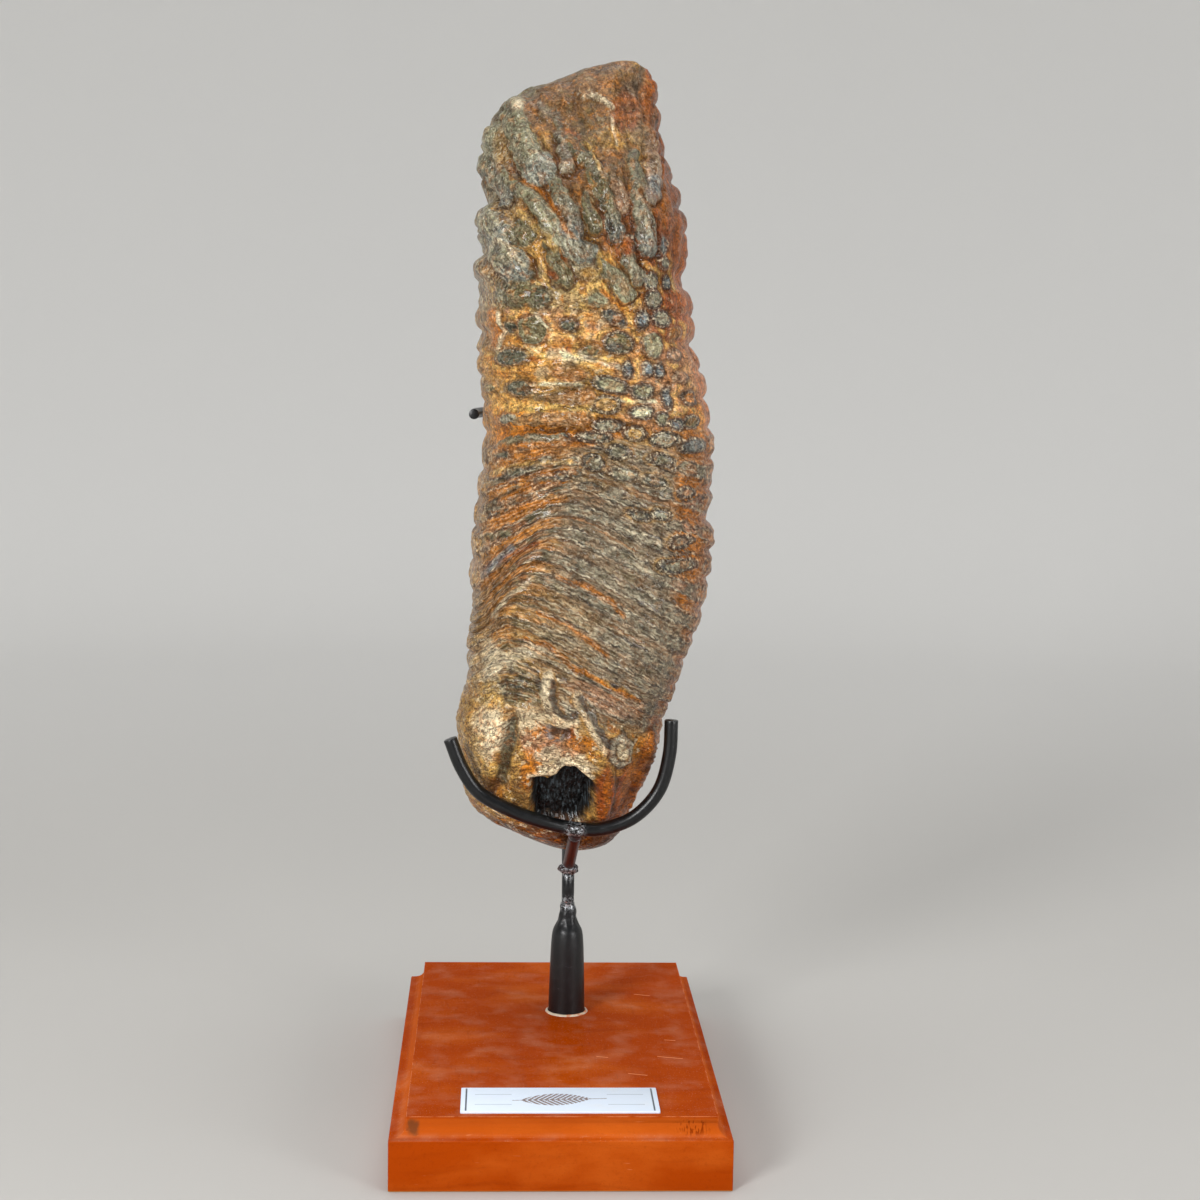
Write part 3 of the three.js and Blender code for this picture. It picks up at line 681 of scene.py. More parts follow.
        relief = fine * 0.5 + grain * 0.6 + threads * 0.6 + streaks * 0.5 + band * 0.4 + blotch * 0.8
        relief = (relief - cracks * 0.4 + crease * 2.5) * (1.1 - waved * 0.5)
        relief = relief + fibres * hollow - rim * 0.6 + swirl * waved * 0.6
        return {"Base Color": colour, "Roughness": broad * 0.25 + fine * 0.25 + 0.06 + hollow * 0.3,
                "Specular IOR Level": 0.1, "Coat Weight": 0.24, "Coat Roughness": 0.05, "Coat IOR": 1.45,
                "Normal": graph.bump(relief, 1.1)}


@dataclass(frozen=True)
class PlainFloor(Finish):
    """Plain pale floor."""

    title: str = "pale_floor"
    brightening: Span = (0.3, 1.7)
    shading: Span = (-1.0, -1.5)

    def look(self, graph: Graph) -> Inputs:
        """One pale tone, lighter up the wall to stay even, and dark behind the camera, out of the lacquer."""
        far = graph.vector("LENGTH", graph.places(), output="Value").step(*self.brightening)
        behind = graph.axes(graph.places())[1].step(*self.shading)
        tone = graph.layered(Tone.FLOOR, (Tone.WALL, far), (Tone.SHADE, behind))
        return {"Base Color": tone, "Roughness": 0.9, "Specular IOR Level": 0.0}


def mesh_object(bm: bmesh.types.BMesh, name: str, finish: Finish) -> bpy.types.Object:
    """Turns a bmesh, freed here, into a smooth object with its finish."""
    mesh = bpy.data.meshes.new(name)
    bm.to_mesh(mesh)
    bm.free()
    mesh.materials.append(finish.build())
    mesh.shade_smooth()
    made = bpy.data.objects.new(name, mesh)
    bpy.context.scene.collection.objects.link(made)
    return made


def finish_piece(bm: bmesh.types.BMesh, name: str, node: str, finish: Finish,
                 sharp_from: float | None = 40) -> bpy.types.Object:
    """Turns a bmesh in millimetres into a finished piece that stands for a CAD node.

    Args:
        bm: The piece's mesh, freed here.
        name: Name of the piece.
        node: CAD node that it replaces.
        finish: Its finish.
        sharp_from: Angle in degrees past which an edge stays sharp, or None for none.

    Returns:
        The new object, at the origin.
    """
    bmesh.ops.transform(bm, matrix=Matrix.Scale(MM, 4), verts=bm.verts)
    made = mesh_object(bm, name, finish)
    if sharp_from is not None:
        made.data.set_sharp_from_angle(angle=math.radians(sharp_from))
    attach(made, "root")
    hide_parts(node)
    LOG.info("%s: %d faces, for %s", name, len(made.data.polygons), node)
    return made


def paint_vertices(mesh: bpy.types.Mesh, name: str, values: np.ndarray) -> None:
    """Keeps a number, a vector or a colour for each vertex as a named attribute."""
    kind, part = {1: ("FLOAT", "value"), 3: ("FLOAT_VECTOR", "vector"), 4: ("FLOAT_COLOR", "color")}[
        1 if values.ndim == 1 else values.shape[1]]
    layer = mesh.attributes.new(name, kind, "POINT")
    layer.data.foreach_set(part, np.ascontiguousarray(values, dtype=np.float32).ravel())


def box_of(node: str) -> tuple[Vector, Vector]:
    """Lowest and highest corners of a CAD node, in millimetres."""
    low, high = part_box(node)
    return low / MM, high / MM


def box_mesh(size: Sequence[float], middle: Sequence[float]) -> bmesh.types.BMesh:
    """Box of a size round its middle."""
    bm = bmesh.new()
    bmesh.ops.create_cube(bm, size=1)
    bmesh.ops.scale(bm, vec=size, verts=bm.verts)
    bmesh.ops.translate(bm, vec=middle, verts=bm.verts)
    return bm


def ease(bm: bmesh.types.BMesh, edges: list[bmesh.types.BMEdge], width: float, segments: int) -> None:
    """Rounds edges off over a width."""
    bmesh.ops.bevel(bm, geom=edges, offset=width, segments=segments, profile=0.5, affect="EDGES", material=-1)


def bent_edges(bm: bmesh.types.BMesh, angle: float) -> list[bmesh.types.BMEdge]:
    """Edges whose faces turn by more than an angle in degrees."""
    return [edge for edge in bm.edges if edge.calc_face_angle(0) > math.radians(angle)]


@dataclass
class Plinth:
    """Wooden block with a cove run round its upper edge, and the card on it."""

    face: float = 18.3
    lip: float = 2.6
    insets: tuple[float, float, float, float] = (6.0, 5.2, 4.0, 4.0)
    cove_steps: int = 12
    arris: float = 0.45
    card_corner: float = 0.5
    card_edge: float = 0.12
    low: Vector = field(default_factory=lambda: box_of("base_plinth")[0])
    high: Vector = field(default_factory=lambda: box_of("base_plinth")[1])

    def build(self) -> None:
        """Builds the block and the card."""
        self.block()
        self.card()

    def level(self, bm: bmesh.types.BMesh, top: bmesh.types.BMFace, inset_share: float,
              height: float) -> bmesh.types.BMFace:
        """Extrudes the top face to a new height, drawn in by a share of each side's inset.

        Args:
            bm: The block's mesh.
            top: Its present top face.
            inset_share: Share of the whole inset, from 0 to 1.
            height: Height of the new top.

        Returns:
            The new top face.
        """
        grown = bmesh.ops.extrude_face_region(bm, geom=[top])["geom"]
        bmesh.ops.delete(bm, geom=[top], context="FACES_ONLY")
        left, right, front, back = (inset_share * inset for inset in self.insets)
        for vertex in (part for part in grown if isinstance(part, bmesh.types.BMVert)):
            vertex.co.x = self.low.x + left if vertex.co.x < 0 else self.high.x - right
            vertex.co.y = self.low.y + front if vertex.co.y < 0 else self.high.y - back
            vertex.co.z = height
        return next(part for part in grown if isinstance(part, bmesh.types.BMFace))

    def block(self) -> None:
        """The block: upright faces, cove, lip and flat top, with its arrises eased."""
        size = self.high - self.low
        bm = box_mesh((size.x, size.y, self.face), (0, 0, self.face / 2))
        top = max(bm.faces, key=lambda face: face.calc_center_median().z)
        shoulder = self.high.z - self.lip
        for step in range(1, self.cove_steps + 1):
            turn = math.pi / 2 * step / self.cove_steps
            height = shoulder - (shoulder - self.face) * math.cos(turn)
            top = self.level(bm, top, math.sin(turn), height)
        self.level(bm, top, 1, self.high.z)
        ease(bm, [edge for edge in bent_edges(bm, 50) if edge.calc_face_angle_signed(0) > 0], self.arris, 3)
        finish_piece(bm, "moulded_plinth", "base_plinth", StainedWood(), 32)

    def card(self) -> None:
        """The card, with small round corners and softened edges."""
        low, high = box_of("label_plate")
        bm = box_mesh(high - low, (low + high) / 2)
        upright = [edge for edge in bm.edges if abs(edge.verts[0].co.z - edge.verts[1].co.z) > 0.1]
        ease(bm, upright, self.card_corner, 3)
        ease(bm, bent_edges(bm, 60), self.card_edge, 2)
        finish_piece(bm, "blank_label_card", "label_plate", PrintedCard(), 50)


def turned(profile: Iterable[Span], x: float, y: float, base: float, steps: int) -> bmesh.types.BMesh:
    """Closed solid turned about an upright line.

    Args:
        profile: Points of (radius, height over the base).
        x: Place of the line from left to right.
        y: Place of the line from front to back.
        base: Height that the profile starts from.
        steps: Sides of the turned piece.

    Returns:
        The mesh, with its faces outward.
    """
    bm = bmesh.new()
    points = [bm.verts.new((x + radius, y, base + height)) for radius, height in profile]
    edges = [bm.edges.new(pair) for pair in zip(points, points[1:])]
    bmesh.ops.spin(bm, geom=points + edges, cent=(x, y, base), axis=(0, 0, 1), angle=2 * math.pi, steps=steps,
                   use_merge=True)
    bmesh.ops.remove_doubles(bm, verts=bm.verts, dist=0.001)
    bmesh.ops.recalc_face_normals(bm, faces=bm.faces)
    return bm


# Pairs of knots that each level of a centripetal curve blends between
KNOT_PAIRS = (((0, 1), (1, 2), (2, 3)), ((0, 2), (1, 3)), ((1, 2),))


def curve_through(route: Sequence[Place], steps: int) -> list[Vector]:
    """Points on the centripetal curve through a route.

    Args:
        route: Places that the curve passes through.
        steps: Points in each stretch between two of them.

    Returns:
        The points from the first place to the last.
    """
    places = [Vector(place) for place in route]
    places = [2 * places[0] - places[1], *places, 2 * places[-1] - places[-2]]
    points = []
    for at in range(1, len(places) - 2):
        around = places[at - 1:at + 3]
        knots = [0.0]
        for first, second in zip(around, around[1:]):
            knots.append(knots[-1] + (second - first).length ** 0.5)
        for step in range(steps):
            now = knots[1] + (knots[2] - knots[1]) * step / steps
            row = around
            for pairs in KNOT_PAIRS:
                row = [row[i].lerp(row[i + 1], (now - knots[low]) / (knots[high] - knots[low]))
                       for i, (low, high) in enumerate(pairs)]
            points.append(row[0])
    return [*points, places[-2]]


# Width of a rod's rounded end, as a share of its radius
ROD_END_EASE = 0.12


def rod(path: Sequence[Vector], radius: float, sides: int) -> bmesh.types.BMesh:
    """Round rod along a path, with flat cut ends.

    Args:
        path: Points along its middle.
        radius: Its radius.
        sides: Sides of its section.

    Returns:
        The closed mesh.
    """
    bm = bmesh.new()
    aside = Vector((1, 0, 0))
    loops = []
    for at, place in enumerate(path):
        ahead = (path[min(at + 1, len(path) - 1)] - path[max(at - 1, 0)]).normalized()
        aside = (aside - ahead * aside.dot(ahead)).normalized()
        matrix = Matrix.Translation(place) @ Matrix((aside, ahead.cross(aside), ahead)).transposed().to_4x4()
        ring = bmesh.ops.create_circle(bm, cap_ends=at in (0, len(path) - 1), segments=sides, radius=radius,
                                       matrix=matrix)["verts"]
        loops.append(list(dict.fromkeys(edge for vertex in ring for edge in vertex.link_edges)))
    for first, second in zip(loops, loops[1:]):
        bmesh.ops.bridge_loops(bm, edges=first + second)
    ease(bm, bent_edges(bm, 60), radius * ROD_END_EASE, 2)
    bmesh.ops.recalc_face_normals(bm, faces=bm.faces)
    return bm


@dataclass(frozen=True)
class Form:
    """A raised or sunk form on the tooth's front: its route of (x, height), width, rise and tone."""

    route: tuple[tuple[float, float], ...]
    width: float
    rise: float
    tone: Tone = Tone.OLIVE

    def nearest(self, x: np.ndarray, height: np.ndarray) -> tuple[np.ndarray, np.ndarray]:
        """Distance on the front from each place to the route, and how far along it that is."""
        nearest, along = np.full(x.shape, np.inf), np.zeros(x.shape)
        for at, ((x0, z0), (x1, z1)) in enumerate(zip(self.route, self.route[1:])):
            run_x, run_z = x1 - x0, z1 - z0
            share = np.clip(((x - x0) * run_x + (height - z0) * run_z) / (run_x ** 2 + run_z ** 2), 0, 1)
            distance = np.hypot(x - x0 - share * run_x, height - z0 - share * run_z)
            along = np.where(distance < nearest, (at + share) / (len(self.route) - 1), along)
            nearest = np.minimum(nearest, distance)
        return nearest, along

    def distance(self, x: np.ndarray, height: np.ndarray) -> np.ndarray:
        """Distance on the front from each place to the route."""
        return self.nearest(x, height)[0]

    def swell(self, x: np.ndarray, height: np.ndarray, taper: float = 0.0) -> np.ndarray:
        """Rise of the form at each place, narrower and lower towards its start by the taper's share."""
        distance, along = self.nearest(x, height)
        size = 1 - taper * (1 - along)
        share = np.clip(distance / (self.width * size), 0, 1)
        return self.rise * size * (1 - share ** 2) ** 0.8


@dataclass(frozen=True)
class Patch:
    """A patch of one tone on the front: the middle, half sizes and lean in degrees of its oval."""

    x: float
    z: float
    half_width: float
    half_height: float
    tone: Tone
    strength: float = 0.9
    lean: float = 0.0

    def reach(self, x: np.ndarray, z: np.ndarray) -> np.ndarray:
        """Distance from the middle, 1 on the oval."""
        turn = math.radians(self.lean)
        across = (x - self.x) * math.cos(turn) + (z - self.z) * math.sin(turn)
        up = (z - self.z) * math.cos(turn) - (x - self.x) * math.sin(turn)
        return np.hypot(across / self.half_width, up / self.half_height)


@dataclass(frozen=True)
class Oval(Patch):
    """A raised oval of core. Its strength is that of the loop of enamel round it."""

    strength: float = 1.0

    def inset(self, x: np.ndarray, z: np.ndarray) -> np.ndarray:
        """Rough distance from the oval's edge, below 0 inside it."""
        return (self.reach(x, z) - 1) * min(self.half_width, self.half_height)


# Columns of the upper half and long bars below them: route from the upper end to the tip, width, rise, tone
FINGERS = tuple(Form(*row) for row in (
    (((-26.6, 373), (-30.2, 364), (-30.7, 358), (-27.4, 351), (-23.7, 346)), 3.9, 2.2, Tone.GREY),
    (((-20.4, 382), (-18.8, 372), (-16, 364), (-13.5, 359), (-10.5, 355.5)), 7.4, 3.6, Tone.OLIVE_PALE),
    (((-26, 356), (-22.7, 350), (-18, 348.4), (-13.5, 346.7), (-10, 342), (-6.8, 336), (-2.7, 331),
     (2.4, 327), (7, 325.5)), 4.7, 3.0, Tone.OLIVE_PALE),
    (((-4.5, 350), (-2.4, 345), (0, 340), (2.2, 334)), 4.9, 2.9, Tone.GREY),
    (((5.5, 346), (6.9, 343), (8.9, 338), (10.5, 335)), 2.9, 1.8, Tone.OLIVE),
    (((8.5, 355), (11, 350.6), (14, 345), (16, 340), (17.7, 333.8)), 4.0, 2.7, Tone.OLIVE),
    (((0.5, 368), (3.4, 363), (7, 360), (10.5, 354.8), (12, 351.7)), 4.0, 2.0, Tone.OLIVE),
    (((-4, 376), (-2.5, 366), (0, 357)), 3.0, 1.4, Tone.MAUVE),
    (((16, 356), (18.5, 350), (20, 343)), 3.2, 1.4, Tone.PINK_BUFF),
    (((24.5, 362), (25.2, 356), (26, 348), (26.6, 342.8), (28.6, 335), (29.7, 328.5)), 4.4, 2.9, Tone.GREY),
    (((32.7, 391), (31.7, 375), (32, 364.5), (32.2, 353.7), (31.5, 348)), 3.9, 2.2, Tone.PINK_BUFF),
    (((21.5, 330), (22.4, 324), (26.6, 317)), 3.4, 2.0, Tone.GREY),
    (((12.5, 323), (14.2, 320.5), (18.8, 316), (22, 310.6)), 3.6, 1.6, Tone.OLIVE_PALE),
    (((-30.5, 341), (-28.8, 336.5), (-24, 331)), 6.0, 4.0, Tone.OLIVE_PALE),
    (((-29, 330), (-25, 325), (-19, 320)), 6.8, 4.0, Tone.OLIVE_PALE),
    (((-7, 328), (-4.2, 322), (-1, 316)), 4.0, 1.8, Tone.OLIVE),
    (((-9.7, 272.8), (7.7, 273)), 3.4, 1.2, Tone.TAN),
    (((-17.8, 264.6), (6, 265.3)), 3.6, 1.2, Tone.TAN),
    (((-23, 254.7), (-18.3, 257), (-9, 257.3), (-2, 257)), 2.9, 1.0, Tone.OLIVE_DARK),
))
# How much of a finger's width and rise is missing at its upper end
FINGER_TAPER = 0.4
# Ridges and hollows round the broken low end
ROOT_FORMS = tuple(Form(*row) for row in (
    (((14.4, 137), (17.6, 130), (18.6, 121.5), (16.6, 112.5)), 3.6, 3.0, Tone.RUST),
    (((22.5, 139.6), (22.7, 139)), 6, 1.6, Tone.CREAM),
    (((36.8, 142), (34.5, 131.5), (31.9, 121)), 3, 1.4, Tone.ORANGE),
    (((-18.5, 152), (-19.6, 143.5), (-22.5, 133), (-23.6, 124)), 4, -2.2, Tone.OLIVE_DARK),
))
# Ovals of core between the seams of cement: x, z, half width, half height, tone, strength, lean
OVALS = tuple(Oval(*row) for row in (
    (-15.9, 332.4, 5, 5, Tone.OLIVE, 0.1), (-10.2, 309, 4.4, 3.2, Tone.OLIVE_DARK, 0.3),
    (-21, 298, 2.3, 2.1, Tone.OLIVE_DARK, 0.3), (-12.3, 297.4, 5.6, 4.8, Tone.OLIVE, 0.4),
    (-27.5, 298, 3.4, 8, Tone.ORANGE, 0.2), (0.9, 299.3, 2.9, 2.1, Tone.OLIVE_DARK, 0.7),
    (17.1, 302.4, 3.8, 2.3, Tone.ENAMEL_DARK, 0.6, -25), (27.7, 301.5, 2, 2.9, Tone.BLUE_GREY),
    (35, 302.2, 3.2, 2.6, Tone.GREY), (31.8, 309, 2.6, 3.2, Tone.GREY),
    (19, 293.2, 5.2, 3.9, Tone.OLIVE, 0.9), (17.5, 291.6, 2.8, 1.6, Tone.ENAMEL_DARK, 0.4),
    (32, 292.3, 3.9, 4.1, Tone.OLIVE_PALE, 0.6), (-20.4, 287.4, 5.6, 2.8, Tone.OLIVE_DARK, 0.6),
    (9.2, 290.2, 3.2, 2, Tone.OLIVE, 0.3), (22.7, 283.5, 1.7, 2.3, Tone.BLUE_GREY),
    (30.4, 284, 1.9, 2.6, Tone.BLUE_GREY), (34.6, 283, 1.9, 2.3, Tone.BLUE_GREY),
    (1.2, 281.4, 6.8, 2.9, Tone.TAN, 0.3), (16.9, 277.6, 6.2, 2.6, Tone.OLIVE_PALE, 1, -12),
    (28.7, 275.4, 4.1, 2.4, Tone.OLIVE_PALE), (37.8, 273, 1.4, 3.2, Tone.BLUE_GREY),
    (47.4, 273, 2.8, 2.4, Tone.ORANGE), (-27.4, 276, 2, 1.3, Tone.OLIVE, 0.3),
    (-16.7, 275.8, 4.7, 2.6, Tone.OLIVE_DARK, 0.5), (14.7, 270.6, 5.2, 2.7, Tone.OCHRE),
    (28.2, 267.8, 4.3, 2.2, Tone.CREAM), (-21.3, 264.7, 3.4, 1.7, Tone.GREY, 0.4, 25),
    (15.4, 263, 4.9, 2.4, Tone.GREY), (36, 265.5, 1.9, 2.3, Tone.OLIVE_PALE),
    (41.6, 263.7, 2.3, 2, Tone.BLUE_GREY), (47.4, 264.2, 3.4, 2.3, Tone.OLIVE),
    (25.4, 260.2, 3.7, 2.3, Tone.OCHRE), (36.8, 258, 5.1, 2.5, Tone.GREY),
    (48, 255.3, 5.1, 2.5, Tone.BLUE_GREY), (10.8, 258.6, 5.6, 1.8, Tone.GREY),
    (19.7, 253.2, 3.9, 2.5, Tone.GREY), (10.4, 249.5, 3.9, 2.7, Tone.GREY),
    (-6.5, 250.4, 2.6, 1.6, Tone.GREY, 0.6), (2.8, 250, 2.6, 1.6, Tone.GREY, 0.6),
    (35.8, 250.6, 4.6, 2.2, Tone.OLIVE_DARK, 1, -8), (22, 245.5, 5.2, 2.4, Tone.GREY, 0.8, -8),
    (33.4, 242.6, 4.4, 2.2, Tone.GREY, 0.8, -10), (4.2, 245, 3, 1.8, Tone.GREY, 0.7),
    (19.7, 239, 4.4, 2.3, Tone.MAUVE, 0.5, -8), (-23.6, 251.6, 4, 1.8, Tone.OLIVE_DARK, 0.6),
    (-7, 242.4, 5, 2, Tone.OLIVE_DARK, 0.7, 12), (-1, 244.2, 2.2, 1.5, Tone.GREY),
    (-18, 245, 3.4, 1.6, Tone.OLIVE_PALE, 0.7, 14), (28, 230, 4, 1.7, Tone.GREY, 1, -10),
    (36.4, 230.4, 3.6, 1.7, Tone.OLIVE_PALE, 1, -10), (9, 240.6, 4, 1.8, Tone.MAUVE, 0.7),
    (-26, 232, 4.2, 1.8, Tone.OLIVE_DARK, 0.6, 22), (-16, 235, 4, 1.7, Tone.TAN, 0.6, 18),
    (45.4, 238.4, 3.4, 2, Tone.PINK_BUFF), (44.5, 219.7, 4.8, 2.2, Tone.MAUVE),
    (43.3, 211, 7, 2.6, Tone.GREY), (22.6, 328.3, 2.6, 3.6, Tone.RUST, 1, -15),
    (5.5, 326, 4.3, 2.6, Tone.GREY, 0.8), (8.1, 318, 3.6, 2.2, Tone.OCHRE, 0.3),
    (36.3, 329, 1.7, 3.2, Tone.BLUE_GREY, 0.5), (36.8, 323, 1.6, 2, Tone.GREY, 0.7),
    (30.9, 316, 2.2, 2.6, Tone.GREY), (38, 315.6, 1.8, 2.2, Tone.BLUE_GREY),
    (40.5, 297, 3, 2.4, Tone.TAN, 0.4), (41, 289, 2.6, 2.1, Tone.PINK_BUFF, 0.7),
    (43.5, 281, 2.5, 2, Tone.PINK_BUFF, 0.5), (32, 351, 2.4, 3.6, Tone.BLUE_GREY, 0.1),
    (-19, 310.5, 7.5, 4.6, Tone.OLIVE, 0.1), (11.5, 308.5, 3.8, 3.2, Tone.OLIVE_PALE, 0.1),
))
# Height of an oval's dome at 1 mm inside its edge
OVAL_RISE = 0.42
# Tones of the cement in the same order of values, from the first laid down to the last
CEMENT_PATCHES = tuple(Patch(*row) for row in (
    (0, 385, 60, 16, Tone.RED_BROWN, 0.9), (29, 380, 9, 16, Tone.MAUVE, 0.6),
    (5, 352, 28, 17, Tone.RED_BROWN, 0.8), (3, 352, 20, 12, Tone.UMBER, 0.38),
    (-0.2, 356, 5, 8, Tone.UMBER, 0.55), (1.6, 369, 3.6, 3.4, Tone.BRICK, 0.8),
    (-21, 380, 4.5, 5, Tone.CREAM, 0.85), (-22.5, 384.5, 4, 2, Tone.ORANGE, 0.8),
    (-20.5, 356, 2.6, 4, Tone.UMBER, 0.7), (10, 372, 9, 7, Tone.OLIVE, 0.4),
    (22, 378, 6, 8, Tone.RUST, 0.6), (20, 360, 7, 6, Tone.RED_BROWN, 0.6),
    (41, 325, 15, 32, Tone.RUST, 0.85), (25, 333, 14, 12, Tone.BRICK, 0.8),
    (36, 352, 3, 16, Tone.ORANGE, 0.6), (5, 322, 6.2, 3, Tone.CREAM, 0.95),
    (-1.6, 323.3, 1.7, 2.7, Tone.RUST, 0.9), (-15.8, 319.7, 2.7, 4, Tone.ORANGE, 0.7),
    (-18, 311, 12, 8, Tone.OLIVE, 0.8), (-18, 304, 6, 1.3, Tone.PINK_BUFF, 0.9),
    (12, 313, 16, 4, Tone.YELLOW, 0.45), (22, 300, 14, 9, Tone.PINK_BUFF, 0.6),
    (2, 313, 22, 10, Tone.OLIVE_PALE, 0.5), (-2, 299, 20, 6, Tone.PINK_BUFF, 0.4),
    (14, 305, 14, 5, Tone.OCHRE, 0.5), (40, 300, 10, 14, Tone.BRICK, 0.6),
    (0.5, 288, 8, 3.3, Tone.CREAM, 0.85), (2.5, 291, 2.4, 1.8, Tone.RUST, 0.8),
    (-11.7, 290.5, 2.3, 2, Tone.CREAM, 0.9), (-11.6, 286.4, 3, 1.6, Tone.RUST, 0.9),
    (-16, 281, 12, 2.4, Tone.ORANGE, 0.8), (-9.3, 280.7, 2.4, 2.6, Tone.ENAMEL_LIGHT, 0.95),
    (-4, 276, 30, 10, Tone.OCHRE, 0.6), (36, 276, 18, 16, Tone.PINK_BUFF, 0.7),
    (0, 259.5, 34, 3, Tone.ORANGE, 0.8, 2), (-5, 268.8, 26, 1.6, Tone.YELLOW, 0.8),
    (50, 225, 8, 50, Tone.ORANGE, 0.85),
))
# The same for the broken surface at the low end, where the core takes them too
LOWER_PATCHES = tuple(Patch(*row) for row in (
    (-12, 180, 26, 26, Tone.OCHRE, 0.3), (-28, 190, 9, 24, Tone.ORANGE, 0.4, -10),
    (-18, 163, 14, 6, Tone.OLIVE, 0.75), (-28.5, 173, 9, 7, Tone.CREAM, 0.95),
    (-15.5, 176.7, 9, 2.6, Tone.CREAM, 0.8, 16), (-19, 163, 5.5, 5, Tone.OLIVE_DARK, 0.8, 20),
    (-7, 166, 3.4, 2.6, Tone.ENAMEL_DARK, 0.75), (-34.5, 152, 4, 9, Tone.ORANGE, 0.6),
    (-28, 160, 9, 5, Tone.YELLOW, 0.9), (-26.5, 146, 8.5, 9, Tone.CREAM, 0.95),
    (-31, 133, 6, 11, Tone.YELLOW, 0.9), (-27, 121, 6, 5, Tone.ORANGE, 0.7),
    (-28, 138, 4, 5, Tone.CREAM, 0.7), (-33, 158, 3, 3, Tone.OLIVE_DARK, 0.6),
    (-12, 152, 6, 6, Tone.CREAM, 0.7), (-8, 143, 7, 6, Tone.PINK_BUFF, 0.9),
    (-11, 131, 4, 9, Tone.ORANGE, 0.85), (-15, 120, 3.5, 10, Tone.UMBER, 0.6),
    (0, 140, 10, 4, Tone.PINK_BUFF, 0.85), (8, 143, 7, 4, Tone.ORANGE, 0.6),
    (3.5, 147, 3, 3, Tone.RUST, 0.8), (-5, 138, 5, 3, Tone.CREAM, 0.7),
    (-1, 133.5, 8, 2.6, Tone.CREAM, 0.85, 10), (9, 135, 5, 3, Tone.CREAM, 0.7, -40),
    (24, 117, 8, 15, Tone.ROOT, 0.95), (17, 121, 3.4, 13, Tone.RUST, 0.95),
    (17.4, 123, 1.6, 9, Tone.ORANGE, 0.5), (25.5, 122, 2.4, 9, Tone.STAIN_LIGHT, 0.5),
    (21.5, 118, 1.6, 16, Tone.UMBER, 0.8), (29, 128, 3.5, 12, Tone.ORANGE, 0.75, -12),
    (34, 134, 3, 12, Tone.ROOT, 0.8, -14), (0, 106.5, 14, 3.5, Tone.PINK_BUFF, 0.9),
    (-2, 147, 5, 3, Tone.BLUE_GREY, 0.7, -25), (12, 162, 10, 4, Tone.PINK_BUFF, 0.7, -18),
    (22, 158, 12, 5, Tone.PINK_BUFF, 0.7, -22), (22.6, 139.3, 2.6, 3, Tone.CREAM, 0.95),
))
SMALL_LOOP = ((19.2, 143), (18.8, 137.6), (22, 134), (26, 135.6), (27, 140.6), (23.4, 144.8), (19.2, 143))
